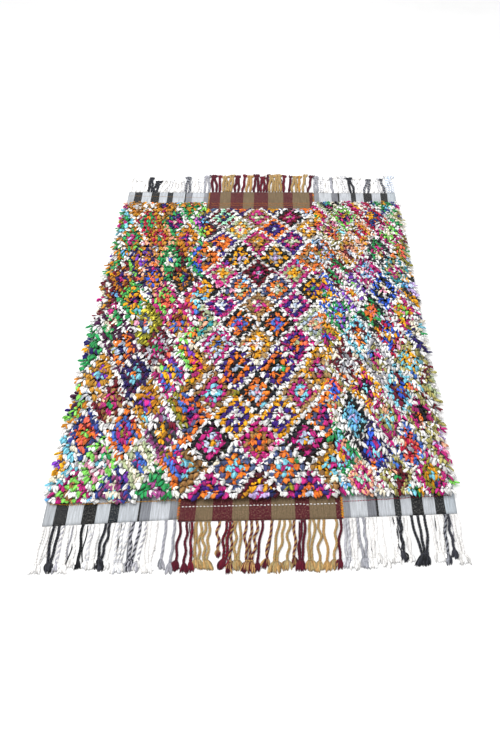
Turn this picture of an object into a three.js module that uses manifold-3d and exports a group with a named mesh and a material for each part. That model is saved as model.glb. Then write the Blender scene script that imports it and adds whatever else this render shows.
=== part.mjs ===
// A hand-knotted shaggy rug lying flat, made the way a narrow loom makes it.
// Three long panels are sewn edge to edge. Each has a flat-woven ground with warp stripes, bare in a
// band at both ends, a deep tufted pile between the bands, and its own warp ends as a knotted fringe.
// Units are millimetres. X runs across the rug, Y along it to the far end, and Z up from the floor.

import * as THREE from "three";
import { mergeVertices } from "three/addons/utils/BufferGeometryUtils.js";
import Module from "manifold-3d";

const wasm = await Module();
wasm.setup();

// Driving sizes of the cloth, the pile and the fringe.
const CLOTH_THICKNESS = 3;
const PIECE_GAP = 0.3;
const SEAM_GAP = 0.6;
const CLOTH_STEPS = { across: 3, along: 20 };

const PILE_DEPTH = 19.5;
const PILE_STEPS = { across: 10, along: 38 };
const PILE_VALLEY_AT_SEAM = 2.5;
const PILE_OVERHANG = 5;
const LUMP_RISE = 3.2;
const RIM_DROP = 6;
const RIM_LOCK = 8;
const END_LOCK = 9;

const STRIP_DEPTH = 5;
const STRIP_HEIGHT = 2.6;
const STRIP_STEPS = 6;
const KNOT_AT = 0.76;
const KNOT_WIDTH = 9;
const KNOT_PITCH = 9.8;
const LOOSE_TAIL_WIDTH = 21;
const GATHERED_TAIL_WIDTH = 12;
const TAIL_GAP = 1;
const STRAND_BOW = 3;
const TOP_TO_BASE_WIDTH = 0.6;

// The four long edges: x at the near and far ends, and how far and how often each one wavers. A seam
// also bows to one side round the place that bowAt gives, because the centre panel is narrower there.
const EDGES = {
  west: { near: -747, far: -750, sway: 3, wave: 430, bow: 0, bowAt: 0, bowSpan: 400 },
  leftSeam: { near: -266, far: -293, sway: 2, wave: 1100, bow: 13, bowAt: 0, bowSpan: 350 },
  rightSeam: { near: 329, far: 289, sway: 2, wave: 1100, bow: -16, bowAt: -150, bowSpan: 420 },
  east: { near: 743, far: 750, sway: 3, wave: 520, bow: 0, bowAt: 0, bowSpan: 400 },
};
const EDGE_SPAN = { near: -1050, far: 1065 };

// The panels, with y of each short end at its west and east corner, for the cloth and for its pile.
const PANELS = [
  {
    name: "left",
    westEdge: EDGES.west,
    eastEdge: EDGES.leftSeam,
    clothNear: { west: -1073, east: -1043 },
    clothFar: { west: 1069, east: 1063 },
    pileNear: { west: -966, east: -956 },
    pileFar: { west: 955, east: 955 },
    clothColour: "#c9ccd0",
    pileColour: "#8f7466",
    fringeColour: "#d3d4d6",
  },
  {
    name: "centre",
    westEdge: EDGES.leftSeam,
    eastEdge: EDGES.rightSeam,
    clothNear: { west: -1053, east: -1041 },
    clothFar: { west: 1069, east: 1067 },
    pileNear: { west: -958, east: -948 },
    pileFar: { west: 890, east: 896 },
    clothColour: "#6b3a40",
    pileColour: "#a98d80",
    fringeColour: "#7d4f3d",
  },
  {
    name: "right",
    westEdge: EDGES.rightSeam,
    eastEdge: EDGES.east,
    clothNear: { west: -1037, east: -1019 },
    clothFar: { west: 1061, east: 1057 },
    pileNear: { west: -930, east: -914 },
    pileFar: { west: 955, east: 953 },
    clothColour: "#cdced3",
    pileColour: "#96817a",
    fringeColour: "#d5d5d8",
  },
];

// Bunches of fringe strands. The roots are spread evenly from the first x to the last, the strands
// meet at the knot, and their tails end round the tip.
const NEAR_BUNCHES = {
  left: [
    { first: -738, last: -719, strands: 2, knot: -731, tipX: -735, tipY: -1263 },
    { first: -702, last: -684, strands: 2, knot: -689, tipX: -683, tipY: -1258 },
    { first: -669, last: -669, strands: 1, knot: -664, tipX: -662, tipY: -1259 },
    { first: -648, last: -648, strands: 1, knot: -638, tipX: -634, tipY: -1263 },
    { first: -627, last: -627, strands: 1, knot: -614, tipX: -607, tipY: -1238 },
    { first: -600, last: -600, strands: 1, knot: -592, tipX: -588, tipY: -1244 },
    { first: -576, last: -576, strands: 1, knot: -562, tipX: -559, tipY: -1246 },
    { first: -545, last: -545, strands: 1, knot: -542, tipX: -541, tipY: -1245 },
    { first: -519, last: -506, strands: 2, knot: -517, tipX: -513, tipY: -1249 },
    { first: -490, last: -490, strands: 1, knot: -494, tipX: -492, tipY: -1246 },
    { first: -473, last: -435, strands: 3, knot: -455, tipX: -455, tipY: -1261 },
    { first: -421, last: -397, strands: 2, knot: -411, tipX: -417, tipY: -1252 },
    { first: -376, last: -376, strands: 1, knot: -387, tipX: -390, tipY: -1255 },
    { first: -359, last: -338, strands: 2, knot: -349, tipX: -348, tipY: -1259 },
    { first: -306, last: -306, strands: 1, knot: -307, tipX: -300, tipY: -1245 },
    { first: -275, last: -275, strands: 1, knot: -275, tipX: -279, tipY: -1262 },
  ],
  centre: [
    { first: -255, last: -255, strands: 1, knot: -254, tipX: -257, tipY: -1250 },
    { first: -231, last: -231, strands: 1, knot: -228, tipX: -226, tipY: -1262 },
    { first: -213, last: -213, strands: 1, knot: -206, tipX: -198, tipY: -1254 },
    { first: -195, last: -181, strands: 2, knot: -184, tipX: -174, tipY: -1244 },
    { first: -163, last: -151, strands: 2, knot: -155, tipX: -137, tipY: -1248 },
    { first: -114, last: -114, strands: 1, knot: -114, tipX: -112, tipY: -1200 },
    { first: -88, last: -76, strands: 2, knot: -88, tipX: -102, tipY: -1244 },
    { first: -64, last: -64, strands: 1, knot: -68, tipX: -70, tipY: -1260 },
    { first: -54, last: -42, strands: 2, knot: -46, tipX: -44, tipY: -1250 },
    { first: -18, last: 20, strands: 3, knot: -3, tipX: -7, tipY: -1258 },
    { first: 40, last: 40, strands: 1, knot: 25, tipX: 22, tipY: -1260 },
    { first: 74, last: 74, strands: 1, knot: 58, tipX: 50, tipY: -1242 },
    { first: 101, last: 118, strands: 2, knot: 88, tipX: 86, tipY: -1258 },
    { first: 138, last: 138, strands: 1, knot: 128, tipX: 121, tipY: -1252 },
    { first: 153, last: 153, strands: 1, knot: 150, tipX: 150, tipY: -1236 },
    { first: 181, last: 190, strands: 2, knot: 175, tipX: 174, tipY: -1250 },
    { first: 210, last: 223, strands: 2, knot: 208, tipX: 210, tipY: -1252 },
    { first: 242, last: 242, strands: 1, knot: 240, tipX: 235, tipY: -1254 },
    { first: 260, last: 260, strands: 1, knot: 264, tipX: 256, tipY: -1254 },
    { first: 304, last: 304, strands: 1, knot: 290, tipX: 281, tipY: -1248 },
    { first: 320, last: 320, strands: 1, knot: 310, tipX: 302, tipY: -1246 },
  ],
  right: [
    { first: 336, last: 344, strands: 2, knot: 338, tipX: 331, tipY: -1239 },
    { first: 358, last: 368, strands: 2, knot: 361, tipX: 359, tipY: -1246 },
    { first: 381, last: 401, strands: 3, knot: 395, tipX: 397, tipY: -1241 },
    { first: 417, last: 431, strands: 2, knot: 422, tipX: 424, tipY: -1241 },
    { first: 445, last: 445, strands: 1, knot: 444, tipX: 442, tipY: -1221 },
    { first: 465, last: 465, strands: 1, knot: 467, tipX: 467, tipY: -1240 },
    { first: 493, last: 514, strands: 2, knot: 501, tipX: 502, tipY: -1223 },
    { first: 534, last: 534, strands: 1, knot: 532, tipX: 529, tipY: -1216 },
    { first: 553, last: 553, strands: 1, knot: 555, tipX: 557, tipY: -1218 },
    { first: 576, last: 622, strands: 3, knot: 603, tipX: 592, tipY: -1232 },
    { first: 645, last: 682, strands: 3, knot: 659, tipX: 656, tipY: -1218 },
    { first: 697, last: 697, strands: 1, knot: 684, tipX: 680, tipY: -1228 },
    { first: 709, last: 709, strands: 1, knot: 708, tipX: 707, tipY: -1204 },
    { first: 726, last: 738, strands: 2, knot: 733, tipX: 737, tipY: -1226 },
  ],
};
const FAR_BUNCHES = {
  left: [
    { first: -737, last: -737, strands: 1, knot: -748, tipX: -748, tipY: 1233 },
    { first: -712, last: -712, strands: 1, knot: -727, tipX: -728, tipY: 1205 },
    { first: -690, last: -690, strands: 1, knot: -704, tipX: -707, tipY: 1206 },
    { first: -669, last: -655, strands: 2, knot: -664, tipX: -664, tipY: 1236 },
    { first: -638, last: -624, strands: 2, knot: -637, tipX: -638, tipY: 1232 },
    { first: -610, last: -597, strands: 2, knot: -598, tipX: -588, tipY: 1190 },
    { first: -579, last: -579, strands: 1, knot: -560, tipX: -555, tipY: 1210 },
    { first: -558, last: -558, strands: 1, knot: -534, tipX: -530, tipY: 1206 },
    { first: -527, last: -527, strands: 1, knot: -518, tipX: -516, tipY: 1200 },
    { first: -500, last: -500, strands: 1, knot: -502, tipX: -501, tipY: 1185 },
    { first: -482, last: -462, strands: 2, knot: -475, tipX: -474, tipY: 1186 },
    { first: -445, last: -445, strands: 1, knot: -452, tipX: -453, tipY: 1195 },
    { first: -428, last: -411, strands: 2, knot: -423, tipX: -429, tipY: 1238 },
    { first: -388, last: -366, strands: 2, knot: -381, tipX: -382, tipY: 1232 },
    { first: -345, last: -345, strands: 1, knot: -357, tipX: -360, tipY: 1186 },
    { first: -324, last: -324, strands: 1, knot: -328, tipX: -322, tipY: 1250 },
    { first: -300, last: -300, strands: 1, knot: -312, tipX: -309, tipY: 1252 },
  ],
  centre: [
    { first: -277, last: -257, strands: 2, knot: -280, tipX: -283, tipY: 1257 },
    { first: -238, last: -238, strands: 1, knot: -246, tipX: -243, tipY: 1254 },
    { first: -217, last: -203, strands: 2, knot: -213, tipX: -213, tipY: 1245 },
    { first: -189, last: -176, strands: 2, knot: -176, tipX: -172, tipY: 1258 },
    { first: -152, last: -134, strands: 2, knot: -142, tipX: -142, tipY: 1252 },
    { first: -111, last: -111, strands: 1, knot: -102, tipX: -99, tipY: 1262 },
    { first: -87, last: -67, strands: 2, knot: -71, tipX: -67, tipY: 1252 },
    { first: -45, last: -22, strands: 2, knot: -32, tipX: -32, tipY: 1263 },
    { first: -6, last: 10, strands: 2, knot: 3, tipX: 2, tipY: 1240 },
    { first: 26, last: 26, strands: 1, knot: 31, tipX: 36, tipY: 1263 },
    { first: 43, last: 60, strands: 2, knot: 54, tipX: 56, tipY: 1259 },
    { first: 76, last: 106, strands: 3, knot: 91, tipX: 93, tipY: 1263 },
    { first: 122, last: 122, strands: 1, knot: 124, tipX: 125, tipY: 1256 },
    { first: 153, last: 153, strands: 1, knot: 162, tipX: 167, tipY: 1250 },
    { first: 171, last: 193, strands: 2, knot: 186, tipX: 187, tipY: 1244 },
    { first: 211, last: 211, strands: 1, knot: 213, tipX: 215, tipY: 1248 },
    { first: 232, last: 232, strands: 1, knot: 243, tipX: 251, tipY: 1263 },
    { first: 259, last: 259, strands: 1, knot: 278, tipX: 288, tipY: 1254 },
  ],
  right: [
    { first: 298, last: 311, strands: 2, knot: 308, tipX: 312, tipY: 1242 },
    { first: 327, last: 341, strands: 2, knot: 337, tipX: 343, tipY: 1232 },
    { first: 355, last: 369, strands: 2, knot: 363, tipX: 371, tipY: 1226 },
    { first: 401, last: 401, strands: 1, knot: 395, tipX: 394, tipY: 1228 },
    { first: 430, last: 451, strands: 2, knot: 422, tipX: 421, tipY: 1246 },
    { first: 468, last: 484, strands: 2, knot: 459, tipX: 459, tipY: 1247 },
    { first: 502, last: 518, strands: 2, knot: 500, tipX: 503, tipY: 1228 },
    { first: 533, last: 553, strands: 2, knot: 545, tipX: 546, tipY: 1228 },
    { first: 578, last: 600, strands: 2, knot: 605, tipX: 613, tipY: 1211 },
    { first: 628, last: 652, strands: 2, knot: 637, tipX: 640, tipY: 1215 },
    { first: 671, last: 671, strands: 1, knot: 659, tipX: 662, tipY: 1222 },
    { first: 694, last: 694, strands: 1, knot: 682, tipX: 680, tipY: 1216 },
    { first: 712, last: 741, strands: 3, knot: 724, tipX: 727, tipY: 1243 },
  ],
};

// The thickness of one strand along its length: root, two-ply cord, knot and loose tail. The tail's
// part is how much of its full spread the strand has reached there.
const STRAND_SECTIONS = [
  { at: 0, width: 7, height: 2.4, tailPart: 0 },
  { at: 0.3, width: 6.4, height: 5, tailPart: 0 },
  { at: 0.6, width: 6.4, height: 5, tailPart: 0 },
  { at: KNOT_AT, width: KNOT_WIDTH, height: 9, tailPart: 0 },
  { at: 0.87, width: 2, height: 8, tailPart: 0.7 },
  { at: 1, width: 0, height: 4, tailPart: 1 },
];

const lerp = THREE.MathUtils.lerp;

function edgeX(edge, y) {
  const along = (y - EDGE_SPAN.near) / (EDGE_SPAN.far - EDGE_SPAN.near);
  const sway = edge.sway * Math.sin((2 * Math.PI * y) / edge.wave);
  const bow = edge.bow * Math.exp(-(((y - edge.bowAt) / edge.bowSpan) ** 2));
  return lerp(edge.near, edge.far, along) + sway + bow;
}

// A box of unit size, cut into steps, whose every corner is moved to where place() puts it.
// place() takes the fractions across, along and up, and the numbers of the step across and along.
function shapedBox(steps, place) {
  const box = new THREE.BoxGeometry(1, 1, 1, steps.across, steps.along, 1);
  box.deleteAttribute("normal");
  box.deleteAttribute("uv");
  box.clearGroups();
  const shaped = mergeVertices(box);
  const points = shaped.getAttribute("position");
  for (let index = 0; index < points.count; index += 1) {
    const across = points.getX(index) + 0.5;
    const along = points.getY(index) + 0.5;
    const up = points.getZ(index) + 0.5;
    const column = Math.round(across * steps.across);
    const row = Math.round(along * steps.along);
    const place3d = place({ across, along, up, column, row });
    points.setXYZ(index, place3d.x, place3d.y, place3d.z);
  }
  return shaped;
}

// The woven ground of a panel: a thin sheet whose ends slant and whose long edges waver.
function clothGeometry(panel) {
  return shapedBox(CLOTH_STEPS, ({ across, along, up }) => {
    const near = lerp(panel.clothNear.west, panel.clothNear.east, across);
    const far = lerp(panel.clothFar.west, panel.clothFar.east, across);
    const y = lerp(near, far, along);
    const west = edgeX(panel.westEdge, y) + SEAM_GAP / 2;
    const east = edgeX(panel.eastEdge, y) - SEAM_GAP / 2;
    return { x: lerp(west, east, across), y, z: up * CLOTH_THICKNESS };
  });
}

// How far the pile reaches past the cloth at one long edge, or keeps back from it at a seam.
function pileReach(edge, row) {
  const onOutside = edge === EDGES.west || edge === EDGES.east;
  if (!onOutside) {
    return -PILE_VALLEY_AT_SEAM;
  }
  const lock = row % 2 === 0 ? 0 : RIM_LOCK * (0.6 + 0.4 * Math.sin(row * 2.3));
  return PILE_OVERHANG + lock;
}

// The tufted pile of a panel: a lumpy slab with locks standing out round its rim.
function pileGeometry(panel) {
  const base = CLOTH_THICKNESS + PIECE_GAP;
  return shapedBox(PILE_STEPS, ({ across, along, up, column, row }) => {
    const onLongRim = column === 0 || column === PILE_STEPS.across;
    const onShortRim = row === 0 || row === PILE_STEPS.along;
    const endLock = onShortRim && column % 2 === 1 ? END_LOCK : 0;
    const near = lerp(panel.pileNear.west, panel.pileNear.east, across) - endLock * (1 - along);
    const far = lerp(panel.pileFar.west, panel.pileFar.east, across) + endLock * along;
    const y = lerp(near, far, along);
    const west = edgeX(panel.westEdge, y) - pileReach(panel.westEdge, row);
    const east = edgeX(panel.eastEdge, y) + pileReach(panel.eastEdge, row);
    const checker = (column + row) % 2 === 0 ? 1 : -1;
    const lump = LUMP_RISE * (0.7 * checker + 0.3 * Math.sin(column * 1.7 + row * 2.9));
    const drop = onLongRim || onShortRim ? RIM_DROP : 0;
    const top = base + PILE_DEPTH + lump - drop;
    return { x: lerp(west, east, across), y, z: up === 1 ? top : base };
  });
}

// The y of a panel's cloth edge at a given x, on the near or the far end.
function clothEndY(panel, corners, x) {
  const west = edgeX(panel.westEdge, corners.west);
  const east = edgeX(panel.eastEdge, corners.east);
  return lerp(corners.west, corners.east, (x - west) / (east - west));
}

// The narrow strip of gathered warps at a panel's end, which holds that end's strands together.
function stripGeometry(panel, corners, outward) {
  const steps = { across: STRIP_STEPS, along: 1 };
  return shapedBox(steps, ({ across, along, up }) => {
    const edge = lerp(corners.west, corners.east, across);
    const inset = outward > 0 ? along : 1 - along;
    const y = edge + outward * (PIECE_GAP + inset * STRIP_DEPTH);
    const west = edgeX(panel.westEdge, corners.west) + SEAM_GAP / 2;
    const east = edgeX(panel.eastEdge, corners.east) - SEAM_GAP / 2;
    return { x: lerp(west, east, across), y, z: up * STRIP_HEIGHT };
  });
}

// How wide a bunch's tails spread at their tips: to their full width, or until they nearly reach the
// tails of the bunch beside them.
function spreadOfTails(bunches, index) {
  const bunch = bunches[index];
  const full = bunch.strands === 1 ? LOOSE_TAIL_WIDTH : bunch.strands * GATHERED_TAIL_WIDTH;
  const beside = [bunches[index - 1], bunches[index + 1]].filter((other) => other);
  const rooms = beside.map((other) => {
    const apart = Math.abs(other.tipX - bunch.tipX) - TAIL_GAP;
    return (2 * apart * bunch.strands) / (bunch.strands + other.strands);
  });
  return Math.min(full, ...rooms);
}

// The line that one strand of a bunch follows on the floor, from its root to the end of its tail,
// and the width of that tail.
function strandLine(bunch, spread, number) {
  const fromMiddle = number - (bunch.strands - 1) / 2;
  const share = bunch.strands === 1 ? 0 : number / (bunch.strands - 1);
  const root = lerp(bunch.first, bunch.last, share);
  const knot = bunch.knot + fromMiddle * KNOT_PITCH;
  const pitch = (spread + TAIL_GAP) / bunch.strands;
  const tip = bunch.tipX + fromMiddle * pitch;
  const bow = bunch.strands === 1 ? STRAND_BOW * Math.sin(root) : STRAND_BOW * Math.sign(fromMiddle);
  return { root, knot, tip, bow, tailWidth: pitch - TAIL_GAP };
}

function strandX(line, at) {
  if (at > KNOT_AT) {
    return lerp(line.knot, line.tip, (at - KNOT_AT) / (1 - KNOT_AT));
  }
  const toKnot = at / KNOT_AT;
  const eased = toKnot * toKnot * (3 - 2 * toKnot);
  return lerp(line.root, line.knot, eased) + line.bow * Math.sin(Math.PI * toKnot);
}

// One strand, flat below where it lies on the floor and narrower on top.
function strandGeometry(panel, corners, outward, bunch, line) {
  const rootY = clothEndY(panel, corners, line.root) + outward * (PIECE_GAP + STRIP_DEPTH / 2);
  const steps = { across: 1, along: STRAND_SECTIONS.length - 1 };
  return shapedBox(steps, ({ across, up, row }) => {
    const section = outward > 0 ? STRAND_SECTIONS[row] : STRAND_SECTIONS[steps.along - row];
    const fullWidth = section.width + section.tailPart * line.tailWidth;
    const width = fullWidth * (up === 1 ? TOP_TO_BASE_WIDTH : 1);
    const x = strandX(line, section.at) + (across - 0.5) * width;
    return { x, y: lerp(rootY, bunch.tipY, section.at), z: up * section.height };
  });
}

function toManifold(geometry) {
  const vertProperties = new Float32Array(geometry.getAttribute("position").array);
  const triVerts = new Uint32Array(geometry.getIndex().array);
  return new wasm.Manifold(new wasm.Mesh({ numProp: 3, vertProperties, triVerts }));
}

function fromManifold(solid) {
  const mesh = solid.getMesh();
  const geometry = new THREE.BufferGeometry();
  geometry.setAttribute("position", new THREE.BufferAttribute(mesh.vertProperties, 3));
  geometry.setIndex(new THREE.BufferAttribute(mesh.triVerts, 1));
  return geometry;
}

// The fringe at one end of a panel: its strands, fused into their strip at the roots.
function fringeGeometry(panel, corners, outward, bunches) {
  let fringe = toManifold(stripGeometry(panel, corners, outward));
  bunches.forEach((bunch, index) => {
    const spread = spreadOfTails(bunches, index);
    for (let number = 0; number < bunch.strands; number += 1) {
      const line = strandLine(bunch, spread, number);
      fringe = fringe.add(toManifold(strandGeometry(panel, corners, outward, bunch, line)));
    }
  });
  return fromManifold(fringe);
}

function clothMesh(name, geometry, colour) {
  geometry.computeVertexNormals();
  const material = new THREE.MeshStandardMaterial({ color: colour, roughness: 0.95, metalness: 0 });
  const mesh = new THREE.Mesh(geometry, material);
  mesh.name = name;
  return mesh;
}

function panelGroup(panel) {
  const group = new THREE.Group();
  const nearFringe = fringeGeometry(panel, panel.clothNear, -1, NEAR_BUNCHES[panel.name]);
  const farFringe = fringeGeometry(panel, panel.clothFar, 1, FAR_BUNCHES[panel.name]);
  group.add(clothMesh(`ground_${panel.name}`, clothGeometry(panel), panel.clothColour));
  group.add(clothMesh(`pile_${panel.name}`, pileGeometry(panel), panel.pileColour));
  group.add(clothMesh(`fringe_${panel.name}_near`, nearFringe, panel.fringeColour));
  group.add(clothMesh(`fringe_${panel.name}_far`, farFringe, panel.fringeColour));
  return group;
}

// The whole rug, with its origin on the floor under the middle of its outline.
function buildRug() {
  const rug = new THREE.Group();
  for (const panel of PANELS) {
    rug.add(panelGroup(panel));
  }
  rug.updateMatrixWorld(true);
  const middle = new THREE.Box3().setFromObject(rug).getCenter(new THREE.Vector3());
  rug.position.set(-middle.x, -middle.y, 0);
  return rug;
}

const rug = buildRug();

export default rug;
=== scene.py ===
"""The looks of a hand-knotted shaggy rug that lies flat on a pale floor.

Three narrow panels are sewn edge to edge. Each has a warp-striped woven ground, bare in a band at
both ends, a deep pile of yarn locks in a lozenge pattern, and its warp ends as a knotted fringe.
The tables give places in millimetres, in the rug's own frame: X across it, Y along it to the far
end, Z up from the floor. Meshes are written in metres.

The file goes from the yarns and the plan of the panels to the weaver's charts, the shapes that are
repeated, the finishes, and then each part of a panel, the panels themselves and the studio.
"""

import logging
import math
from dataclasses import dataclass, field
from enum import Enum
from typing import Callable, Iterable, Mapping

import bmesh
import bpy
import numpy as np
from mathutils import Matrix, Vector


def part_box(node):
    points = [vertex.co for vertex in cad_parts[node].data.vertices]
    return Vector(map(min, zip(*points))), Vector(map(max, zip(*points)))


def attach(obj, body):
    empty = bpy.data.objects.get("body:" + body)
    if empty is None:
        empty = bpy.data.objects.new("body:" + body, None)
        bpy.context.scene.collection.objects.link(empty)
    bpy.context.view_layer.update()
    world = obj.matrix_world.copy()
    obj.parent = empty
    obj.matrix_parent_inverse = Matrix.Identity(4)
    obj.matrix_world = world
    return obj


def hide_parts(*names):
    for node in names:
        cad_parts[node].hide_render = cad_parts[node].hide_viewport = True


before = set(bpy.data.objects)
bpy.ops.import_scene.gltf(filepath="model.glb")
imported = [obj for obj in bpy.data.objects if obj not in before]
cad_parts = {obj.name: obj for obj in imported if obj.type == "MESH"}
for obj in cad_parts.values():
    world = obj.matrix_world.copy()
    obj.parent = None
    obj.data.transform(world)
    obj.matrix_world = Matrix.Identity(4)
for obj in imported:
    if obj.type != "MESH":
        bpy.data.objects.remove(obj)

log = logging.getLogger("rug")

# A colour with its alpha, one number or an array of them, a node's socket, what a socket can be
# fed, sockets by name, what gives a value for shares along a thread, and the row and column of
# the middle of a lozenge.
Colour = tuple[float, float, float, float]
Number = float | np.ndarray
Socket = bpy.types.NodeSocket
Fed = Socket | float | Colour | None
Sockets = Mapping[str, Socket]
AlongThread = Callable[[np.ndarray], np.ndarray]
Heart = tuple[int, int]

BODY = "root"
METRES = 0.001
FULL_TURN = 2 * math.pi
CLOTH_TOP = 3.0
YARN_ATTRIBUTE = "yarn"
BAKE_MAP = "OFBake"
CLOTH_MAP = "cloth"
# No thread is darker or lighter than this, in linear light.
DARKEST, PALEST = 0.002, 0.95
# Where the near short edge of the cloth lies along Y, and how far it is to the far one.
CLOTH_START, CLOTH_LENGTH = -1050.0, 2115.0


def linear_light(code: str) -> np.ndarray:
    """The linear RGB of an sRGB colour code."""
    srgb = np.array([int(code[i:i + 2], 16) for i in (0, 2, 4)]) / 255
    return np.where(srgb <= 0.04045, srgb / 12.92, ((srgb + 0.055) / 1.055) ** 2.4)


def socket_colour(code: str) -> Colour:
    """The colour that a shader socket takes for an sRGB colour code."""
    red, green, blue = linear_light(code)
    return float(red), float(green), float(blue), 1.0


def lerp(start: Number, end: Number, share: Number) -> Number:
    """The value a share of the way from start to end."""
    return start + (end - start) * share


def uneven_colour(colour: np.ndarray, rng: np.random.Generator, amount: float) -> np.ndarray:
    """A yarn's colour made lighter or darker by chance, for one thread.

    Args:
        colour: The yarn's linear colour.
        rng: The seeded source of unevenness, which gives one number.
        amount: How far threads differ, as a share of the colour.

    Returns:
        The thread's linear colour.
    """
    return np.clip(colour * (1 + rng.normal(0, amount)), DARKEST, PALEST)


class Yarn(Enum):
    """The dyed yarns: a short name for the weaver's chart, and the colour as sRGB."""

    WHITE = ("wh", "efedeb")
    CREAM = ("cr", "f4ead2")
    ICE = ("ic", "b9c8de")
    CYAN = ("cy", "7ccbe0")
    SKY = ("sk", "6cb2ea")
    BLUE = ("bl", "456fc8")
    COBALT = ("cb", "2b5bd2")
    NAVY = ("nv", "251b5e")
    INDIGO = ("in", "2c4088")
    SLATE = ("sl", "48537c")
    PURPLE = ("pu", "361b76")
    VIOLET = ("vi", "7c3db8")
    LILAC = ("li", "ccb4ea")
    ORCHID = ("rd", "da6cd0")
    MAUVE = ("mv", "9a4682")
    MAGENTA = ("mg", "bc2278")
    PINK = ("pk", "f19cba")
    CORAL = ("co", "f0674e")
    CRIMSON = ("cs", "b5113d")
    MAROON = ("ma", "6c1024")
    PLUM = ("pl", "4a1240")
    ORANGE = ("or", "ec7826")
    AMBER = ("am", "c67e1a")
    GOLD = ("go", "e8a214")
    LEMON = ("le", "f0e04a")
    OCHRE = ("oc", "c18a28")
    TAN = ("tn", "a88452")
    BROWN = ("br", "9a703e")
    KHAKI = ("kh", "a8a05e")
    OLIVE = ("ol", "8b8522")
    LIME = ("lm", "80d25a")
    GREEN = ("gr", "2d9a55")
    MINT = ("mi", "a9e4c2")
    SAGE = ("sa", "a9b48a")
    TEAL = ("te", "2d8f98")
    PEACH = ("pe", "f3aa88")
    GREY = ("gy", "a9a8b0")
    CHARCOAL = ("ch", "33343c")
    BLACK = ("bk", "15171b")
    BURGUNDY = ("bu", "500b1f")
    PALE_GREY = ("pg", "c6c7cc")
    STONE = ("st", "8e9097")
    STRAW = ("sw", "a08c60")

    @property
    def linear(self) -> np.ndarray:
        """The colour as linear RGB."""
        return linear_light(self.value[1])


YARN_BY_CODE = {yarn.value[0]: yarn for yarn in Yarn}


class End(Enum):
    """The two short ends of the rug, with the way that each one faces along Y."""

    NEAR = -1
    FAR = 1


def along_rug(y: Number) -> Number:
    """The share of the rug's length at which a y lies, from the near end of the cloth."""
    return (y - CLOTH_START) / CLOTH_LENGTH


# The plan of the rug.

@dataclass(frozen=True)
class LongEdge:
    """One long edge of a panel: its x at both ends, how it wavers, and how a seam bows."""

    near: float
    far: float
    sway: float
    wave: float
    bow: float = 0.0
    bow_at: float = 0.0
    bow_span: float = 400.0

    def x(self, y: Number) -> Number:
        """The edge's x at a given y.

        Args:
            y: One place along the rug, or an array of them.

        Returns:
            The x of the edge there, in the same form as y.
        """
        straight = lerp(self.near, self.far, along_rug(y))
        bow = self.bow * np.exp(-(((y - self.bow_at) / self.bow_span) ** 2))
        return straight + self.sway * np.sin(FULL_TURN * y / self.wave) + bow


WEST = LongEdge(-747, -750, 3, 430)
LEFT_SEAM = LongEdge(-266, -293, 2, 1100, bow=13, bow_at=0, bow_span=350)
RIGHT_SEAM = LongEdge(329, 289, 2, 1100, bow=-16, bow_at=-150, bow_span=420)
EAST = LongEdge(743, 750, 3, 520)


@dataclass(frozen=True)
class PanelPlan:
    """Where one panel lies: its long edges, and y of its short ends at the west and east."""

    name: str
    west: LongEdge
    east: LongEdge
    cloth_near: tuple[float, float]
    cloth_far: tuple[float, float]
    pile_near: tuple[float, float]
    pile_far: tuple[float, float]

    def end_y(self, end: End, x: float) -> float:
        """The y of the cloth's short end at a given x.

        Args:
            end: Which of the two short ends.
            x: The place across the rug.

        Returns:
            The y of that end there.
        """
        corners = self.cloth_near if end is End.NEAR else self.cloth_far
        west = self.west.x(corners[0])
        east = self.east.x(corners[1])
        return float(lerp(corners[0], corners[1], (x - west) / (east - west)))


LEFT = PanelPlan("left", WEST, LEFT_SEAM, (-1073, -1043), (1069, 1063), (-966, -956), (955, 955))
CENTRE = PanelPlan(
    "centre", LEFT_SEAM, RIGHT_SEAM, (-1053, -1041), (1069, 1067), (-958, -948), (890, 896)
)
RIGHT = PanelPlan(
    "right", RIGHT_SEAM, EAST, (-1037, -1019), (1061, 1057), (-930, -914), (955, 953)
)


def rug_shift() -> float:
    """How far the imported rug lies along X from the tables.

    Returns:
        The distance in metres.
    """
    seam_gap = 0.3
    nearest = CENTRE.cloth_near[1]
    planned = (float(RIGHT_SEAM.x(nearest)) - seam_gap) * METRES
    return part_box("ground_centre")[1].x - planned


# The weaver's chart.
# Each row of lozenges has its y at the west and the east, and its yarns from the rim of each
# lozenge to its heart. A row of three sits between the lozenges of a row of four. A fifth yarn is
# an outline other than white.

LEFT_CHART = (
    (-1025, -1025, ""),
    (-955, -955, "mg lm br wh, in mv cr cy, gr gr mv wh"),
    (-832, -800, "cy cr go vi, lm pk wh cy, sa cr bl mg, or bl mg cr"),
    (-674, -676, "in co or lm, or bl mg ol, mv ch go vi"),
    (-536, -506, "am lm pl go, ma br mg gr, oc am vi mg, ol am bl co"),
    (-362, -362, "oc oc vi cy, nv pl cy or, mg bl go vi"),
    (-222, -190, "gr gr nv go, pl or ic nv, ma gy mg gr, lm or vi cr"),
    (-38, -36, "pl gr cr ma, ol le sl co ol, mg oc bl co"),
    (121, 121, "ma oc wh mg, gr go nv mg, mg lm co ma, mg or cy cr"),
    (278, 278, "ma am nv mg lm, nv am cb co pe, bk am nv gr"),
    (440, 424, "gr am wh vi, nv am vi cr pe, gr gr cr cb ma, gr cb am mg"),
    (604, 604, "am gr mg li, oc cs am gr pe, am am mg pu"),
    (756, 754, "cy gr mg ol, cs gr cs gr oc, gr nv mg cr, lm rd pu sk"),
    (892, 914, "oc am br wh, br am bk pu oc, gr am gr ma"),
    (1040, 1055, ""),
)
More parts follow.
